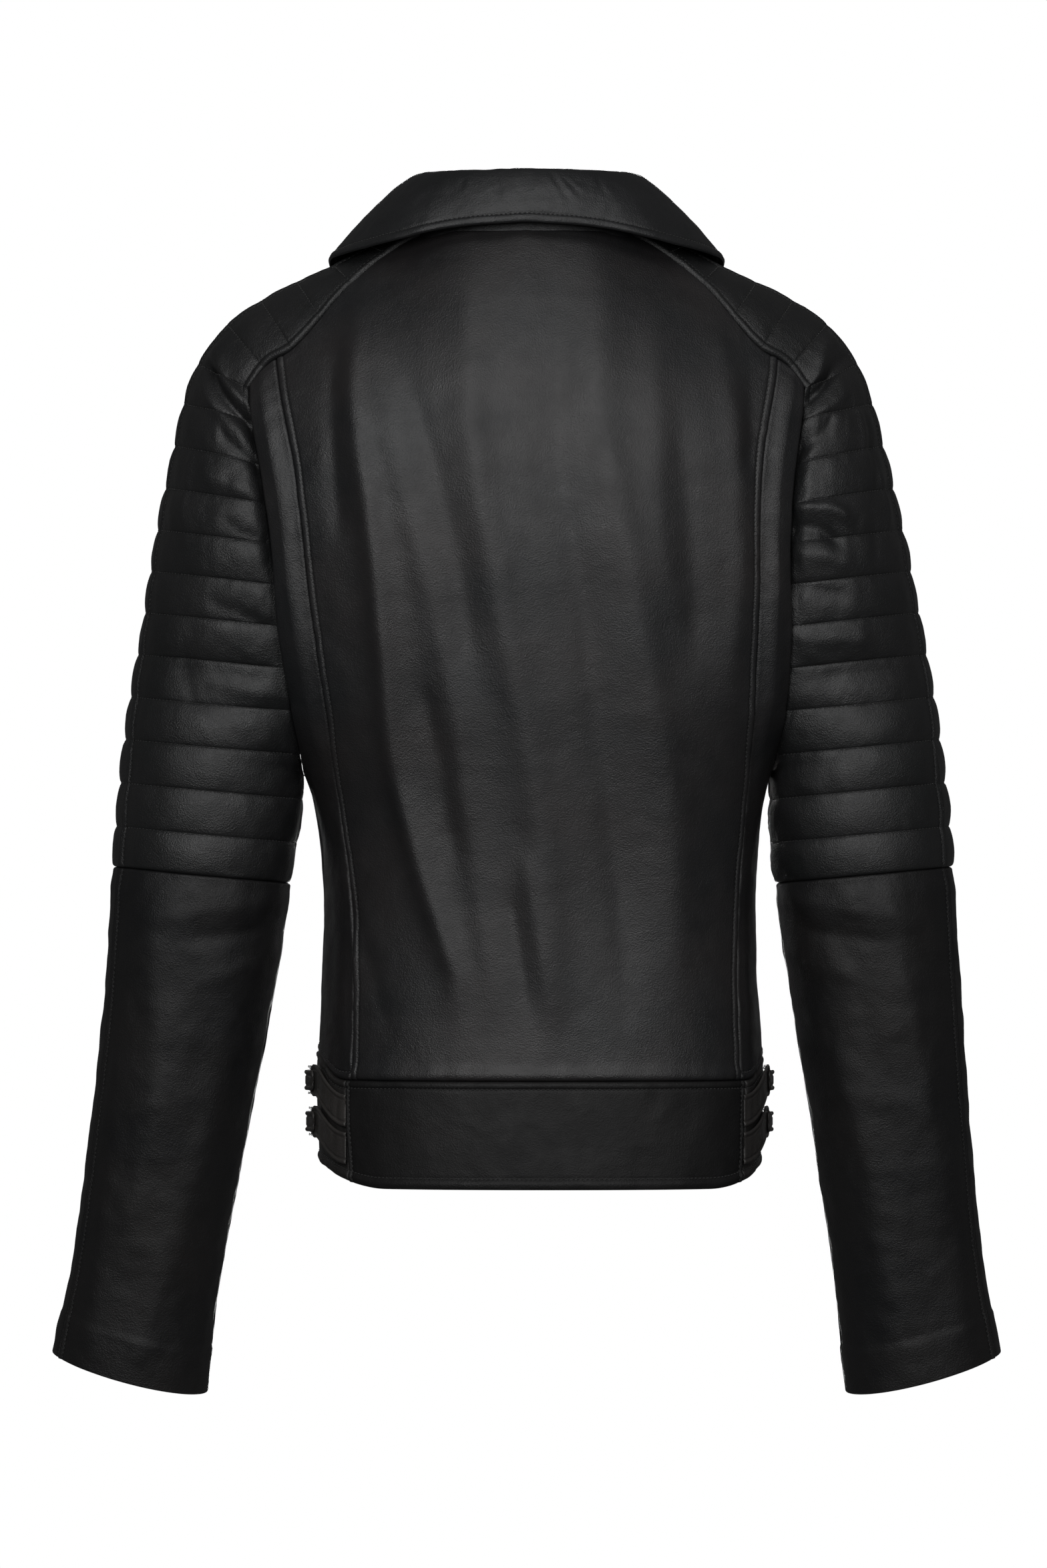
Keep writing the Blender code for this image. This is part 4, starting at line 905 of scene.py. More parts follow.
def back_panels():
    grid = laid(torso_surface(lambda z: -centre_angle(z), centre_angle, -1))[0]
    left, right, top, bottom = reach(grid)
    drift = 0.0034 * noise(grid, (0.06, 0.06, 0.13), 5) + 0.0009 * noise(grid, (0.02, 0.02, 0.045), 6)
    table = [(high, wide * BACK_FOLD_SPREAD, spots) for high, wide, spots in BACK_FOLDS]
    height = folds(-grid[..., 2], grid[..., 0] + drift, table)
    height *= 0.74 + 0.42 * ease((-grid[..., 2] - 0.06) / 0.2)
    height *= ease((top + 0.005) / 0.07) * ease((bottom + 0.006) / 0.09)
    height += cloth_noise(grid, 0.0009, 0.062, 3)
    height += seam(left, top, 0.0018, EDGE_STITCH, 0.0004, 0.00055, 0.008, 11)
    height += seam(right, top, 0.0018, EDGE_STITCH, 0.0004, 0.00055, 0.008, 12)
    height += seam(top, left, 0.0016, None, 0, 0.0005, 0.012, 13)
    height += seam(bottom, left, 0.0022, None, 0, 0.0007, 0.013, 14) + 0.0012 * ridge(bottom, 0.004, 0.004)
    side_fade = np.exp(-np.minimum(left, right) / 0.02)
    height += 0.0016 * side_fade * wobble(top / 0.028, left / 0.06, 15)
    made = panel("back_panel", grid, height)
    for edge in (0, 1):
        along_edge("topstitching_back", made, edge, EDGE_STITCH, (10, 4))
    for label, hand in SIDES:
        surface = torso_surface(lambda z: hand * centre_angle(z), lambda z: hand * armhole_angle(z, -1), -1)
        grid = laid(surface)[0]
        inner, outer, top, bottom = reach(grid)
        drop = -grid[..., 2]
        bulge = ease((0.4 - drop) / 0.16) * ease((drop - 0.07) / 0.05)
        height = 0.005 * bulge * ease(inner / 0.014) + cloth_noise(grid, 0.001, 0.035, 21 + hand)
        height += 0.0014 * wobble(top / 0.05, inner / 0.02, 23 + hand) * ease(inner / 0.01)
        height += seam(inner, top, 0.002, None, 0, 0.0006, 0.01, 25 + hand)
        height -= rounded(outer, 0.0055) * (1 - 0.65 * ease((drop - 0.2) / 0.06))
        height += seam(top, inner, 0.0016, None, 0, 0.0003, 0.01, 27 + hand)
        height += seam(bottom, inner, 0.0022, 0.005, 0.0006, 0.0006, 0.01, 29 + hand)
        along_edge("topstitching_back", panel(f"back_side_panel_{label}", grid, height), 3, 0.005)


def front_panels():
    for label, hand in SIDES:
        surface = torso_surface(lambda z: hand * zip_edge(z), lambda z: hand * armhole_angle(z, 1), 1)
        grid = laid(surface)[0]
        zipped, outer, top, bottom = reach(grid)
        drop = -grid[..., 2]
        across = np.abs(unturned(grid))
        height = PANEL_LIFT * (1 - ease((across - 0.02) / 0.04))
        front = folds(drop, across, FRONT_FOLDS) * ease(zipped / 0.03) * ease(bottom / 0.05)
        height += front + cloth_noise(grid, 0.001, 0.042, 31 + hand) * ease(zipped / 0.01)
        height += seam(zipped, top, 0.0012, 0.0055, 0.0004, 0.0004, 0.009, 33 + hand)
        height += seam(top, zipped, 0.0016, None, 0, 0.0004, 0.012, 35 + hand)
        height += seam(bottom, zipped, 0.0022, 0.005, 0.0006, 0.0006, 0.012, 37 + hand)
        height -= rounded(outer, 0.005) * (1 - 0.65 * ease((drop - 0.2) / 0.06))
        height = pocket_welt(grid, hand, height)
        made = panel(f"front_panel_{label}", grid, height)
        along_edge("topstitching_front", made, 0, 0.0055)
        along_edge("topstitching_front", made, 3, 0.005)


# Front folds: height, width, then the crest's points as drop and distance from the centre line
FRONT_FOLDS = (
    (0.0034, 0.012, ((0.16, 0.128), (0.23, 0.105), (0.3, 0.086), (0.36, 0.07))),
    (-0.0022, 0.011, ((0.18, 0.104), (0.25, 0.084), (0.32, 0.066))),
    (0.0026, 0.012, ((0.12, 0.06), (0.2, 0.052), (0.29, 0.044), (0.38, 0.04))),
    (0.003, 0.011, ((0.33, 0.122), (0.4, 0.108), (0.47, 0.1), (0.52, 0.098))),
    (-0.0018, 0.01, ((0.35, 0.1), (0.42, 0.088), (0.5, 0.078))),
    (0.0022, 0.01, ((0.4, 0.056), (0.46, 0.052), (0.52, 0.056))),
)


def zip_axes(top, bottom, across):
    """A zip's length and its directions along, across and out, from its ends and a rough direction across."""
    length = float(np.linalg.norm(top - bottom))
    along = (top - bottom) / length
    across = unit(across - along * np.dot(across, along))
    out = np.cross(across, along)
    return length, along, across, out if out[1] > 0 else -out


def pocket_frame(hand):
    """The pocket zip's bottom end, its length, and its directions along, across and out."""
    top, bottom = [torso(hand * angle_at(x, z, 1), z, 1) for x, z in (POCKET_TOP, POCKET_BOTTOM)]
    middle = (top + bottom) / 2
    near = torso(angle_at(middle[0] + np.array([-0.01, 0.01]), middle[2], 1), middle[2], 1)
    length, along, across, out = zip_axes(top, bottom, near[1] - near[0])
    share = np.linspace(0, 1, 25)[:, None]
    sideways = np.linspace(-POCKET_TAPE, POCKET_TAPE, 5)[None, :]
    spots = bottom + (top - bottom) * share[..., None] + across * sideways[..., None]
    spots_x = spots[..., 0] - twist_shift(spots[..., 1], spots[..., 2])
    surface = torso(angle_at(spots_x, spots[..., 2], 1), spots[..., 2], 1)
    proud = float(np.max((surface - spots) @ out)) + POCKET_ZIP_REST + TAPE_THICK
    return bottom + out * proud, length, along, across, out


def pocket_welt(grid, hand, height):
    """The heights of a front panel, with the flat welt that it rises to round its pocket zip."""
    base, length, along, across, out = pocket_frame(hand)
    offset = grid - base
    run = offset @ along
    side = np.abs(offset @ across)
    outside = np.maximum(np.maximum(-run, run - length) - 0.0055, 0)
    away = np.sqrt(np.maximum(side - 0.0075, 0) ** 2 + outside**2)
    flush = np.clip(-(offset @ out) - TAPE_THICK - 0.0002, -0.001, 0.004)
    near = 1 - ease((away - 0.003) / 0.016)
    return height + (flush - height) * near - 0.0007 * ridge(away, 0.0045, 0.0009)


def waistband():
    edge = 180 - float(zip_edge(np.array(-0.57)))
    parts = [("back_waistband", -SIDE_BAND_BACK, SIDE_BAND_BACK)]
    for label, hand in SIDES:
        parts += [
            (f"side_waistband_{label}", hand * SIDE_BAND_BACK, hand * SIDE_BAND_FRONT),
            (f"front_waistband_{label}", hand * SIDE_BAND_FRONT, hand * edge),
        ]
    for number, (name, start, end) in enumerate(parts):

        def surface(u, v):
            around = start + (end - start) * u
            top = waist_z(around)
            return ring(around, top + (hem_z(around) - top) * v)

        grid = laid(surface)[0]
        first, last, top, bottom = reach(grid)
        seed = 41 + 7 * number
        height = cloth_noise(grid, 0.0009, 0.03, seed)
        across = np.abs(unturned(grid))
        front = grid[..., 1] > TORSO_CENTRE_Y
        height += np.where(front, PANEL_LIFT * (1 - ease((across - 0.02) / 0.04)), 0.0)
        if "side" in name:
            height += 0.0011 * wobble(first / 0.011, top / 0.09, seed + 1)
        height += seam(top, first, 0.0022, EDGE_STITCH, 0.0006, 0.0007, 0.013, seed + 2)
        height += seam(bottom, first, 0.0004, 0.007, 0.0012, 0.0007, 0.016, seed + 3)
        end_stitch = 0.004 if "back" in name else None
        height += seam(first, top, 0.0018, end_stitch, 0.0008, 0.0004, 0.01, seed + 4)
        last_radius = 0.001 if "front" in name else 0.0018
        height += seam(last, top, last_radius, end_stitch, 0.0008, 0.0004, 0.01, seed + 5)
        # The back and front bands take the darker leather copy: painted shade
        finish = SIDE_BAND_LEATHER if "side" in name else SHADED_WAIST_LEATHER
        made = panel(name, grid, height, LEATHER + 0.0006, finish, (3,))
        stitched = [(2, EDGE_STITCH), (3, 0.007)]
        if "front" in name:
            stitched += [(1, 0.0055)]
        if "back" in name:
            stitched += [(0, 0.004), (1, 0.004)]
        for edge_number, wanted in stitched:
            along_edge("topstitching_waistband", made, edge_number, wanted)


# ---------------------------------------------------------------- sleeves

# Folds of the upper sleeves' back halves: height, width in channels, then (share, channel) points
SHOULDER_FOLDS = {
    -1: (
        (-0.0052, 0.22, ((0.4, 5.95), (0.55, 6.12), (0.75, 6.62), (1.0, 7.25))),
        (0.003, 0.26, ((0.35, 5.55), (0.55, 5.75), (0.75, 6.15), (1.0, 6.7))),
        (0.0026, 0.26, ((0.45, 6.45), (0.7, 7.05), (1.0, 7.75))),
        (-0.003, 0.18, ((0.7, 7.55), (0.85, 7.85), (1.0, 8.15))),
        (0.0018, 0.3, ((0.55, 8.5), (0.8, 8.75), (1.0, 8.9))),
        (-0.002, 0.22, ((0.72, 9.6), (0.86, 9.85), (1.0, 10.0))),
        (-0.0016, 0.22, ((0.65, 11.55), (0.8, 11.8), (1.0, 12.1))),
        (0.0014, 0.26, ((0.6, 13.4), (0.8, 13.6), (1.0, 13.7))),
    ),
    1: (
        (0.0034, 0.24, ((0.3, 5.3), (0.6, 5.35), (0.8, 5.7), (1.0, 6.05))),
        (-0.0046, 0.22, ((0.3, 5.75), (0.6, 5.85), (0.8, 6.2), (1.0, 6.55))),
        (0.0026, 0.26, ((0.55, 6.55), (0.8, 6.9), (1.0, 7.2))),
        (-0.0026, 0.2, ((0.72, 7.25), (0.86, 7.55), (1.0, 7.7))),
        (0.004, 0.2, ((0.62, 9.62), (0.74, 9.28), (0.86, 9.16), (1.0, 9.05))),
        (-0.0046, 0.24, ((0.7, 10.1), (0.82, 9.75), (1.0, 9.6))),
        (0.0022, 0.26, ((0.66, 10.6), (0.82, 10.35), (1.0, 10.2))),
        (-0.0018, 0.22, ((0.7, 11.4), (0.85, 11.2), (1.0, 11.1))),
        (0.0014, 0.24, ((0.6, 12.5), (0.8, 12.4), (1.0, 12.3))),
    ),
}
# Folds that run down the sleeves: height, width in share, then (channel, share) points
DOWN_FOLDS = {
    -1: (
        (0.0012, 0.05, ((8.0, 0.45), (9.0, 0.42), (10.2, 0.46))),
        (-0.001, 0.05, ((12.1, 0.55), (13.0, 0.52), (14.2, 0.56))),
    ),
    1: (
        (0.0016, 0.045, ((6.6, 0.48), (7.4, 0.44), (8.2, 0.43))),
        (-0.0014, 0.04, ((7.2, 0.36), (8.0, 0.34), (9.0, 0.38))),
        (0.0014, 0.045, ((8.6, 0.32), (9.4, 0.3), (10.2, 0.36))),
        (-0.0012, 0.045, ((9.2, 0.48), (9.9, 0.45), (10.7, 0.5))),
    ),
}
# Places of the grid lines in one quilt channel
PUFF_LINES = np.array((
    0, 0.015, 0.04, 0.08, 0.14, 0.22, 0.32, 0.43, 0.54, 0.65, 0.75, 0.84, 0.91, 0.955, 0.985
))


def upper_sleeve(label, hand, half):
    """Half of a quilted upper sleeve, from the neck to the elbow seam."""
    end = 1 if half == "back" else -1
    lines = (np.arange(CHANNELS)[:, None] + PUFF_LINES[None, :]).ravel()
    near_end = CHANNELS - EDGE_LINES[1:8][::-1] / QUILT_PITCH
    lines = np.concatenate([lines[lines < near_end[0] - 0.02], near_end, [CHANNELS]])

    def surface(u, v):
        return sleeve(OUTER_SEAM + (end - OUTER_SEAM) * u, v * CHANNELS, hand)

    grid, u, v = laid(surface, down=lines / CHANNELS)
    channel = v * CHANNELS
    share = np.abs(OUTER_SEAM + (end - OUTER_SEAM) * u)
    outer, inner, top, bottom = reach(grid)
    seed = 101 + 13 * (half == "back") + 29 * (hand > 0)
    phase = channel - np.floor(channel)
    number = np.floor(np.minimum(channel, CHANNELS - 0.001))
    uneven = 1 + 0.35 * wobble(number * 1.37, inner / 0.05, seed)
    round_top = np.sin(math.pi * np.clip(phase, 0, 1)) ** 0.5
    flat = ease((outer - 0.003) / 0.02) * ease((inner - 0.0035) / 0.009)
    depth = QUILT_DEPTH * (0.42 + 0.58 * ease((channel - 4.2) / 2.4))
    pitch = np.where(channel < 6, SHOULDER_PITCH, QUILT_PITCH)
    height = -depth + (depth + QUILT_RISE) * round_top * uneven * (0.45 + 0.55 * flat)
    valley = np.minimum(phase, 1 - phase) * pitch
    wave = wobble(inner / 0.0075, number * 3.1 + phase * 1.2, seed + 1)
    fine = wobble(inner / 0.0032, number * 2.3 + phase * 2.0, seed + 2)
    height += (0.0007 * wave + 0.0004 * fine) * np.exp(-valley / 0.006) * ease(valley / 0.0009)
    if half == "back":
        height += folds(share, channel, SHOULDER_FOLDS[hand])
        height += folds(channel, share, DOWN_FOLDS[hand])
    crumple = ease((share - 0.35) / 0.5) * ease((channel - 5) / 3)
    height += cloth_noise(grid, 0.0009, 0.03, seed + 3)
    height += crumple * cloth_noise(grid, 0.0016, 0.02, seed + 6)
    raglan = ease((7.0 - channel) / 1.0)
    lift = 0.0016 * ridge(inner, 0.0028, 0.003) * raglan
    height += lift + seam(inner, top, 0.0022, None, 0, 0.0003, 0.008, seed + 8)
    height -= 0.0007 * ridge(inner, RAGLAN_STITCH, 0.0008) * raglan
    height -= 0.0045 * (1 - ease(inner / 0.012)) * ease((channel - 6.6) / 1.2) * ease((11.6 - channel) / 1.6)
    stitched = EDGE_STITCH if half == "back" else None
    height += seam(outer, top, 0.002, stitched, 0.001, 0.0004, 0.009, seed + 9)
    height += seam(bottom, inner, 0.0022, None, 0, 0.0003, 0.008, seed + 10)
    middle = (sleeve(0, channel, hand) + sleeve(1, channel, hand) + sleeve(-1, channel, hand)) / 3
    middle[..., 2] -= 0.03 * ease((8 - channel) / 8)
    node = f"upper_sleeve_{half}_{label}"
    obj, made = skin(node, "quilting", grid, middle, height, QUILTED * 0.6, SLEEVE_LEATHER)
    group = f"topstitching_sleeve_{label}"
    points, normal, runs = made
    for k in range(1, CHANNELS):
        column = int(np.argmin(np.abs(v[0] * CHANNELS - k)))
        stop = int(np.sum(runs[0][:, column] < runs[0][-1, column] - 0.006))
        start = int(np.sum(runs[0][:, column] < 0.0056))
        stitch(group, points[start:stop, column], normal[start:stop, column])
    if half == "back":
        along_edge(group, made, 0, EDGE_STITCH)
    along_edge(group, made, 1, RAGLAN_STITCH, (0, int(np.sum(v[0] * CHANNELS > 6.6))))


# Folds of the lower sleeves' back halves: height, width in share, then (length, share) points
ARM_FOLDS = {
    -1: (
        (0.0034, 0.093, ((0.02, 0.3), (0.2, 0.36), (0.45, 0.44), (0.7, 0.4))),
        (-0.0026, 0.102, ((0.04, 0.52), (0.2, 0.56), (0.42, 0.6), (0.6, 0.58))),
        (0.0026, 0.085, ((0.3, 0.22), (0.5, 0.26), (0.75, 0.28), (0.95, 0.3))),
        (0.0024, 0.093, ((0.45, 0.66), (0.65, 0.62), (0.85, 0.55), (0.98, 0.52))),
        (-0.002, 0.085, ((0.55, 0.46), (0.7, 0.48), (0.9, 0.42))),
    ),
    1: (
        (0.0032, 0.093, ((0.02, 0.42), (0.18, 0.4), (0.4, 0.34), (0.62, 0.32))),
        (-0.0026, 0.102, ((0.03, 0.62), (0.2, 0.58), (0.42, 0.52), (0.6, 0.5))),
        (0.0028, 0.093, ((0.35, 0.68), (0.55, 0.62), (0.75, 0.6), (0.95, 0.58))),
        (0.002, 0.085, ((0.5, 0.24), (0.7, 0.26), (0.96, 0.3))),
        (-0.0018, 0.085, ((0.6, 0.44), (0.78, 0.44), (0.95, 0.42))),
    ),
}
# Folds across the lower sleeves: height, width in length, then (share, length) points
CROSS_FOLDS = (
    (0.0022, 0.03, ((0.35, 0.09), (0.6, 0.06), (0.85, 0.03))),
    (-0.002, 0.022, ((0.45, 0.13), (0.7, 0.1), (0.95, 0.06))),
    (0.0018, 0.03, ((0.55, 0.2), (0.75, 0.16), (1.0, 0.13))),
    (0.0014, 0.03, ((0.3, 0.47), (0.5, 0.43), (0.7, 0.42))),
)


def lower_sleeve(label, hand, half):
    """Half of a plain lower sleeve, from the elbow seam to the turned cuff."""
    end = 1 if half == "back" else -1

    def surface(u, v):
        return forearm(OUTER_SEAM + (end - OUTER_SEAM) * u, v, hand)

    grid, u, v = laid(surface)
    share = np.abs(OUTER_SEAM + (end - OUTER_SEAM) * u)
    grid[..., 2] -= end * CUFF_BOW * np.sin(math.pi * np.clip(u, 0, 1)) * ease((v - 0.6) / 0.4)
    outer, inner, top, bottom = reach(grid)
    seed = 201 + 13 * (half == "back") + 29 * (hand > 0)
    height = cloth_noise(grid, 0.0014, 0.045, seed)
    height += 0.0006 * noise(grid, 0.012, seed + 4) * ease(inner / 0.02)
    strength = 0.75 if half == "back" else 0.65
    height += strength * (folds(v, share, ARM_FOLDS[hand * end]) + folds(share, v, CROSS_FOLDS))
    height *= ease((outer + 0.004) / 0.02) * ease((bottom + 0.01) / 0.03)
    height -= 0.0017 * (1 - ease(top / 0.014))
    stitched = EDGE_STITCH if half == "back" else None
    height += seam(outer, top, 0.002, stitched, 0.0009, 0.0004, 0.01, seed + 5)
    height += seam(inner, top, 0.002, None, 0, 0.0003, 0.01, seed + 6)
    height += seam(top, inner, 0.002, None, 0, 0.0005, 0.01, seed + 7)
    height += 0.0007 * ease((0.03 - bottom) / 0.002)
    height += seam(bottom, inner, 0.0004, None, 0, 0.0005, 0.014, seed + 8)
    middle = (forearm(0, v, hand) + forearm(1, v, hand)) / 2
    node = f"lower_sleeve_{half}_{label}"
    # The lower sleeve takes the darker leather copy: painted shade
    made = skin(node, "leather", grid, middle, height, LEATHER, SHADED_FOREARM_LEATHER, (3,))[1]
    if half == "back":
        along_edge(f"topstitching_sleeve_{label}", made, 0, EDGE_STITCH)


def sleeves():
    for label, hand in SIDES:
        for half in ("back", "front"):
            upper_sleeve(label, hand, half)
            lower_sleeve(label, hand, half)


# ---------------------------------------------------------------- linings

def linings():
    def lined(name, first, last, side, seed):
        grid = laid(torso_surface(first, last, side, lining_end), PLAIN, PLAIN, 0.006)[0]
        height = 0.0004 * noise(grid, (0.01, 0.01, 0.04), seed) - LINING_INSET
        height += 0.0006 * noise(grid, 0.03, seed + 1)
        skin(name, "satin", grid, torso_core(grid), height, LINING, LINING_SATIN)

    lined("back_lining", lambda z: -armhole_angle(z, -1), lambda z: armhole_angle(z, -1), -1, 301)
    for label, hand in SIDES:
        edges = (lambda z: hand * angle_at(LINING_EDGE, z, 1), lambda z: hand * armhole_angle(z, 1))
        lined(f"front_lining_{label}", *edges, 1, 305 + hand)
        share = np.linspace(-1, 1, 97)[:-1][:, None]
        upper = sleeve(share, np.linspace(15.6, 17.4, 8)[None, :], hand)
        lower = forearm(share, np.linspace(0, 0.975, 60)[None, :], hand)
        grid = np.concatenate([upper, lower], axis=1).transpose(1, 0, 2)
        core = np.broadcast_to(grid.mean(axis=1, keepdims=True), grid.shape)
        height = 0.0005 * noise(grid, (0.012, 0.012, 0.05), 311 + hand) - SLEEVE_LINING_INSET
        node = f"sleeve_lining_{label}"
        skin(node, "satin", grid, core, height, LINING, LINING_SATIN, wrap=True)


# ---------------------------------------------------------------- collar

def collar_piece(node, grid, core, height, thickness, free):
    return skin(node, "leather", grid, core, height, thickness, COLLAR_LEATHER, free)[1]


def collar():
    share = np.linspace(-1, 1, 27)
    line = neck_line(NECK, share)
    fold = neck_line(FOLD, share)
    for _ in range(2):
        fold[1:-1] = 0.25 * fold[:-2] + 0.5 * fold[1:-1] + 0.25 * fold[2:]
    edge = neck_line(LEAF_EDGE, share)
    away = unit((fold - np.array([0, TORSO_CENTRE_Y, 0])) * np.array([1, 1, 0]))
    low = (0.02 - 0.13 * (1 - ease((np.abs(share) - 0.42) / 0.1)))[None, :, None]
    rise = low + (1 - low) * np.linspace(0, 1, 4)[:, None, None]
    control = (line + (fold - line) * rise).transpose(1, 0, 2)
    grid = laid(lambda a, b: patch(control, a, b), PLAIN, PLAIN, 0.0022)[0]
    height = cloth_noise(grid, 0.0004, 0.02, 401)
    height -= 0.0008 * ridge(grid[..., 0], 0, 0.0009) * (grid[..., 1] < 0.03)
    core = np.array([0, TORSO_CENTRE_Y, 0]) + UP * grid
    collar_piece("collar_stand", grid, core, height, COLLAR, ())
    t = np.linspace(0, 1, 7)[:, None, None]
    start = fold + UP * 0.0014 + away * 0.0004
    rise = fold + UP * 0.0085 + away * 0.003
    fall = fold + (edge - fold) * 0.3 + away * 0.012 + UP * 0.004
    leaf = start * (1 - t) ** 3 + 3 * rise * t * (1 - t) ** 2 + 3 * fall * t * t * (1 - t) + edge * t**3
    shoulders = ease((np.abs(share) - 0.4) / 0.15)[None, :, None]
    leaf = leaf + (settled(leaf, 2) - leaf) * shoulders
    control = leaf.transpose(1, 0, 2)
    grid, u, _ = laid(lambda a, b: patch(control, a, b), spacing=0.0018)
    left, right, top, bottom = reach(grid)
    core = np.concatenate([fold + (edge - fold) * 0.5 - away * 0.05] * 2).reshape(2, 27, 3).transpose(1, 0, 2)
    core = patch(core, u, 0 * u)
    run = left - left[-1:] / 2
    height = cloth_noise(grid, 0.0007, 0.03, 405) + 0.0004 * noise(grid, 0.008, 409) * ease(bottom / 0.01)
    for place, lean, long, deep in COLLAR_CREASES:
        off = run - place - lean * (top - 0.02)
        profile = 0.6 * ridge(off, 0.004, 0.003) - ridge(off, 0, 0.0016)
        height += deep * profile * ease((long - np.abs(top - 0.018)) / 0.01)
    for s, a, number in ((left, top, 0), (right, top, 1), (bottom, left, 2)):
        height += seam(s, a, 0.0006, 0.0057, 0.0007, 0.00035, 0.01, 411 + number)
    made = collar_piece("collar_leaf", grid, core, height, COLLAR + 0.0004, (0, 1, 3))
    for edge_number in (0, 1, 3):
        along_edge("topstitching_collar", made, edge_number, 0.0057)
    bow = np.linspace(-1, 1, 13)
    x = bow * LOOP_HALF
    y = LOOP_END_Y + LOOP_BOW * ease(1.15 * (1 - np.abs(bow))) + LOOP_CURVE * x**2
    path = np.stack([x, y, 0 * bow], axis=-1)
    control = np.stack([path + UP * (LOOP_Z[0] + (LOOP_Z[1] - LOOP_Z[0]) * k / 3) for k in range(4)], axis=1)
    control = control + np.array([0, LOOP_THICK, 0])
    grid = laid(lambda a, b: patch(control, a, b), PLAIN, PLAIN, 0.001)[0]
    core = grid - np.array([0, 0.05, 0])
    height = cloth_noise(grid, 0.0002, 0.01, 421) - 0.0003 * ridge(reach(grid)[2], 0.004, 0.0008)
    collar_piece("hanger_loop", grid, core, height, LOOP_THICK, (0, 1, 2, 3))


# Creases across the collar leaf: place along it, lean, half length and depth
COLLAR_CREASES = (
    (0.0215, 0.55, 0.016, 0.0007), (0.029, 0.8, 0.011, 0.0005), (0.003, -0.1, 0.008, 0.0006),
    (-0.018, 0.15, 0.013, 0.0005), (-0.042, -0.25, 0.01, 0.0004), (0.048, 0.3, 0.012, 0.0004),
)


# ---------------------------------------------------------------- waist straps

def strap_piece(node, hand, z, path, half, drop, seed):
    """A stitched strap along a path of (distance, height) spots, with rounded edges and crinkles."""
    run = run_along(path)
    fine = np.linspace(0, run[-1], int(run[-1] / 0.0009))
    smooth = curve(np.column_stack([run, path, half, drop]), fine)
    step = unit(np.gradient(smooth[:, :2], axis=0))
    side = np.stack([-step[:, 1], step[:, 0]], axis=-1)
    lines = np.array([0, 0.02, 0.06, 0.11, 0.16, 0.19, 0.22, 0.26, 0.33, 0.42, 0.5])
    lines = np.concatenate([lines, 1 - lines[-2::-1]])
    share = 2 * lines - 1
    across = smooth[:, 2:3] * share[None, :] + smooth[:, 3:4]
    edge = smooth[:, 2:3] * (1 - np.abs(share[None, :]))
    crinkle = 0.0007 * wobble(fine[:, None] / 0.006, across / 0.02, seed)
    wide = ease((smooth[:, 2:3] - 0.007) / 0.003)
    height = 1.3 * crinkle * wide * ease((edge - 0.0026) / 0.002)
    height += 0.0006 * ridge(edge, 0.0015, 0.0011) - 0.0006 * ridge(edge, 0.0031, 0.0006)
    end = np.minimum(fine, fine[-1] - fine)[:, None]
    drop_edge = rounded(np.minimum(edge, end), STRAP_THICK * 0.5) * 0.95
    layers = []
    for way in (1, -1):
        off = way * STRAP_THICK / 2 + (height if way > 0 else 0.5 * height) - way * drop_edge
        spots = smooth[:, None, :2] + side[:, None, :] * off[..., None]
        rows = [on_side(hand, z, spots[:, k], across[:, k:k + 1])[:, 0] for k in range(len(share))]
        layers.append(np.stack(rows, axis=1))
    points = np.concatenate(layers).reshape(-1, 3)
    make(f"{node}_leather", points, sheet_faces(*layers[0].shape[:2]), STRAP_LEATHER, [node])
    normal = outward(*layers)
    column = int(np.argmin(np.abs(share + 1 - 0.0031 / np.max(half))))
    for k in (column, len(share) - 1 - column):
        good = smooth[:, 2] > 0.0105
        if good.sum() > 12:
            stitch("topstitching_straps", layers[0][good, k], normal[good, k])


def plated(node, width=None):
    """Gives a CAD node dark metal and softer edges: bevelled to a width, or rounded all over."""
    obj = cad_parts[node]
    obj.data.materials.clear()
    obj.data.materials.append(METAL)
    soft = obj.modifiers.new("soft_edges", "BEVEL" if width else "SUBSURF")
    if width:
        soft.width = width
        soft.segments = 2
    else:
        soft.levels = soft.render_levels = 2
    return obj


def waist_straps():
    turn = BAR_RADIUS + 0.0003 + STRAP_THICK / 2
    for label, hand in SIDES:
        for level, z in STRAP_Z.items():
            seed = 501 + 3 * (hand > 0) + (level == "upper")
            run = np.linspace(STRAP_SEAM, -0.024, 15)
            back = np.stack([run, np.full(15, 0.0021)], axis=-1)
            slope = np.array([[-0.0215, 0.0028], [-0.019, 0.0034], [-0.0155, 0.0042], [-0.012, 0.0051]])
            round_bar = arc((BAR_S, BAR_H), turn, 95, -90, 10)
            under = np.array([[-0.0105, 0.0018], [-0.014, 0.0018], [-0.0185, 0.0018]])
            path = np.concatenate([back, slope, round_bar, under])
            half = np.where(path[:, 0] < -0.017, STRAP_HALF - 0.0006, TAB_HALF)
            half[len(back) + len(slope):] = TAB_HALF
            fall = STRAP_FALL[level] * ease((-0.022 - path[:, 0]) / (-0.022 - STRAP_SEAM))
            fall[len(back):] = 0
            strap_piece(f"waist_strap_{level}_{label}", hand, z, path, half, fall, seed)
            path = np.array(TAB_PATH)
            half = np.where(path[:, 0] > 0.02, STRAP_HALF - 0.0012, TAB_HALF)
            half[:2] = 0.0035, 0.0055
            strap_piece(f"strap_tab_{level}_{label}", hand, z, path, half, 0 * half, seed + 11)
            plated(f"strap_buckle_{level}_{label}").data.shade_smooth()
            plated(f"buckle_prong_{level}_{label}", 0.0002).data.shade_smooth()


# ---------------------------------------------------------------- zips

def box_points(size, taper=0.75):
    """Eight corners of a block from half sizes, with its top drawn in."""
    across, along, high = size
    low = [(-across, -along, 0), (across, -along, 0), (across, along, 0), (-across, along, 0)]
    top = [(x * taper, y * taper, high) for x, y, _ in low]
    return np.array(low + top)


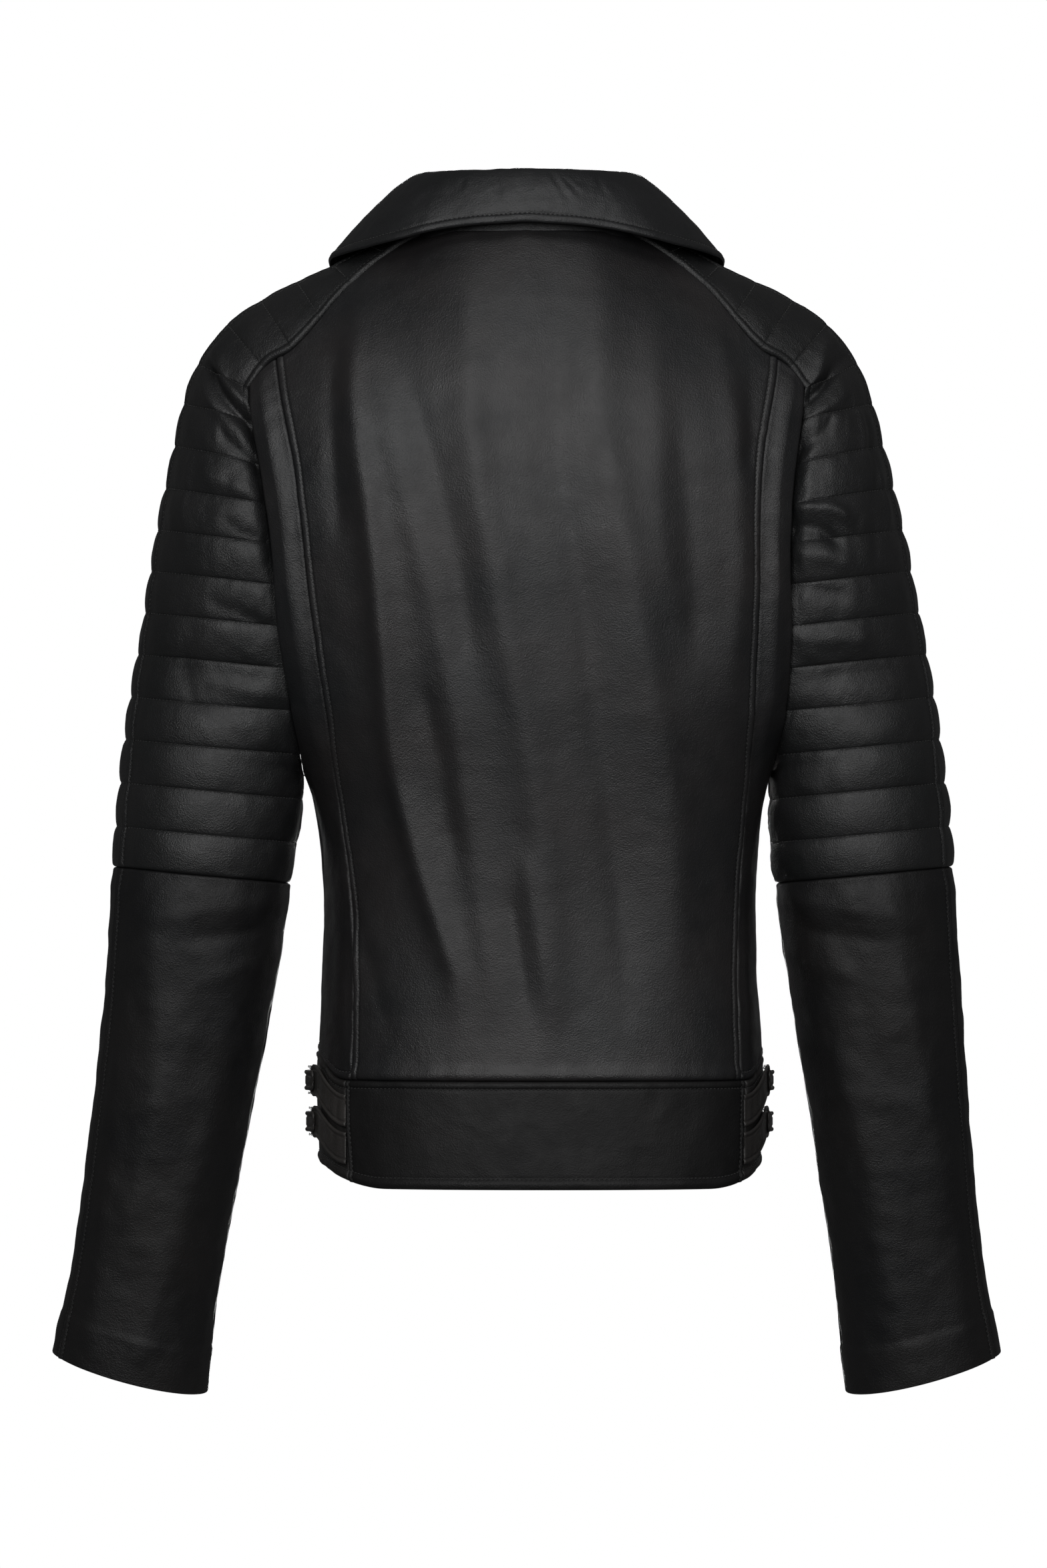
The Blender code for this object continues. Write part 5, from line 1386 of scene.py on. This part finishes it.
BLOCK_FACES = np.array([(3, 2, 1, 0), (4, 5, 6, 7), (0, 1, 5, 4), (1, 2, 6, 5), (2, 3, 7, 6), (3, 0, 4, 7)])


def zip_teeth(name, base, length, along, across, out):
    """Two rows of interlocking teeth along a closed zip."""
    pitch = 0.0024
    block = box_points((0.00135, 0.00068, 0.0016))
    points = []
    for way in (-1, 1):
        places = np.arange(0.002 + (pitch / 2 if way > 0 else 0), length - 0.001, pitch)
        for spot in places:
            centre = base + along * spot + across * way * 0.00105 + out * 0.0004
            points.append(centre + block[:, :1] * across + block[:, 1:2] * along + block[:, 2:3] * out)
    faces = np.concatenate([BLOCK_FACES + 8 * k for k in range(len(points))])
    obj = make(name, np.concatenate(points), faces, METAL)
    obj.data.shade_flat()


def zip_tape(name, node, base, length, along, across, out, start, end):
    """One strip of zip tape, with a raised cord edge beside the teeth."""

    def surface(u, v):
        wide = start + (end - start) * u
        return base + along * (length * v)[..., None] + across * wide[..., None]

    grid = laid(surface, PLAIN, PLAIN, 0.0012)[0]
    core = grid - out * 0.05
    inner = reach(grid)[0] if abs(start) < abs(end) else reach(grid)[1]
    height = 0.0005 * ridge(inner, 0.0016, 0.0008) + 0.00012 * noise(grid, 0.006, 7)
    skin(node, "tape", grid, core, height, TAPE_THICK, TAPE_CLOTH, (0, 1, 2, 3), name=name)


def zips():
    top, bottom = [torso(np.array(0.0), np.array(z), 1) for z in (FRONT_ZIP_TOP_Z, FRONT_ZIP_BOTTOM_Z)]
    axes = zip_axes(top, bottom, np.array([-1.0, 0, 0]))
    line = (bottom - axes[3] * ZIP_DROP, *axes)
    for label, hand in SIDES:
        zip_tape(f"front_zip_tape_{label}", f"front_zip_{label}", *line, -0.0006 * hand, -TAPE_OUTER * hand)
    zip_teeth("front_zip_teeth", *line)
    for label, hand in SIDES:
        line = pocket_frame(hand)
        zip_tape(f"hand_pocket_tape_{label}", f"hand_pocket_zip_{label}", *line, -POCKET_TAPE, POCKET_TAPE)
        zip_teeth(f"hand_pocket_teeth_{label}", *line)
    for name in ("front_zip_slider", "front_zip_pull", "hand_pocket_slider_left", "hand_pocket_slider_right",
                 "hand_pocket_pull_left", "hand_pocket_pull_right"):
        plated(name, 0.00025)


back_panels()
front_panels()
waistband()
sleeves()
linings()
collar()
waist_straps()
zips()
for group, parts in threads.items():
    make(group, np.concatenate(parts["points"]), np.concatenate(parts["faces"]), THREAD)

# ---------------------------------------------------------------- stage, light and camera

FLOOR_HALF = 12
FLOOR_Z = -0.95
corners = [(x * FLOOR_HALF, y * FLOOR_HALF, FLOOR_Z) for x, y in ((-1, -1), (1, -1), (1, 1), (-1, 1))]
floor_mesh = bpy.data.meshes.new("floor")
floor_mesh.from_pydata(corners, [], [(0, 1, 2, 3)])
floor = placed("floor", floor_mesh)
floor_material, floor_tree, floor_shader, _ = node_material("pale_floor")
feed(floor_tree, floor_shader, {
    "Base Color": (0, 0, 0, 1),
    "Specular IOR Level": 0,
    "Roughness": 1.0,
    "Emission Color": (1, 1, 1, 1),
    "Emission Strength": 1.0,
})
floor_mesh.materials.append(floor_material)
floor.visible_diffuse = False
floor.visible_glossy = False

# The world lights the jacket dimly and looks white to the camera
world = bpy.data.worlds.new("studio")
world.use_nodes = True
sky = world.node_tree
dim = sky.nodes["Background"]
feed(sky, dim, {"Color": (1, 1, 1, 1), "Strength": 0.07})
bright = added(sky, "ShaderNodeBackground", {"Color": (1, 1, 1, 1), "Strength": 1.0})
rays = sky.nodes.new("ShaderNodeLightPath")
chosen = added(sky, "ShaderNodeMixShader", {"Fac": rays.outputs["Is Camera Ray"]})
sky.links.new(dim.outputs[0], chosen.inputs[1])
sky.links.new(bright.outputs[0], chosen.inputs[2])
feed(sky, sky.nodes["World Output"], {"Surface": chosen.outputs[0]})
bpy.context.scene.world = world

# Softboxes: name, place, the point it faces, width and height, power
LIGHTS = (
    ("key_light", (-0.9, -3.1, 0.55), (0.0, 0.0, -0.22), (1.2, 1.2), 36),
    ("fill_light", (1.3, -3.0, 0.5), (0.0, 0.0, -0.2), (1.2, 1.4), 21),
    ("top_light", (0.1, -1.7, 1.7), (0.0, 0.05, -0.1), (1.6, 1.0), 12),
    ("front_light", (0.0, 3.2, 0.3), (0.0, 0.0, -0.3), (0.5, 0.8), 62),
    ("front_fill_light", (0.0, 3.1, -0.7), (0.0, 0.0, -0.3), (0.5, 0.6), 20),
)
for name, place, aim, size, power in LIGHTS:
    light = bpy.data.lights.new(name, "AREA")
    light.shape = "RECTANGLE"
    light.size, light.size_y = size
    light.energy = power
    obj = placed(name, light)
    obj.location = place
    obj.rotation_euler = (Vector(aim) - Vector(place)).to_track_quat("-Z", "Y").to_euler()

# The photo's camera: straight from behind, with a long lens, in millimetres
CAMERA_PLACE = (-0.002, -9.0, PICTURE_Z)
camera_data = bpy.data.cameras.new("camera")
camera_data.sensor_width = 36
camera_data.lens = 324
camera_data.clip_end = 100
camera = placed("camera", camera_data)
camera.location = CAMERA_PLACE
camera.rotation_euler = (math.radians(90), 0, 0)
bpy.context.scene.camera = camera
bpy.context.scene.view_settings.view_transform = "Standard"
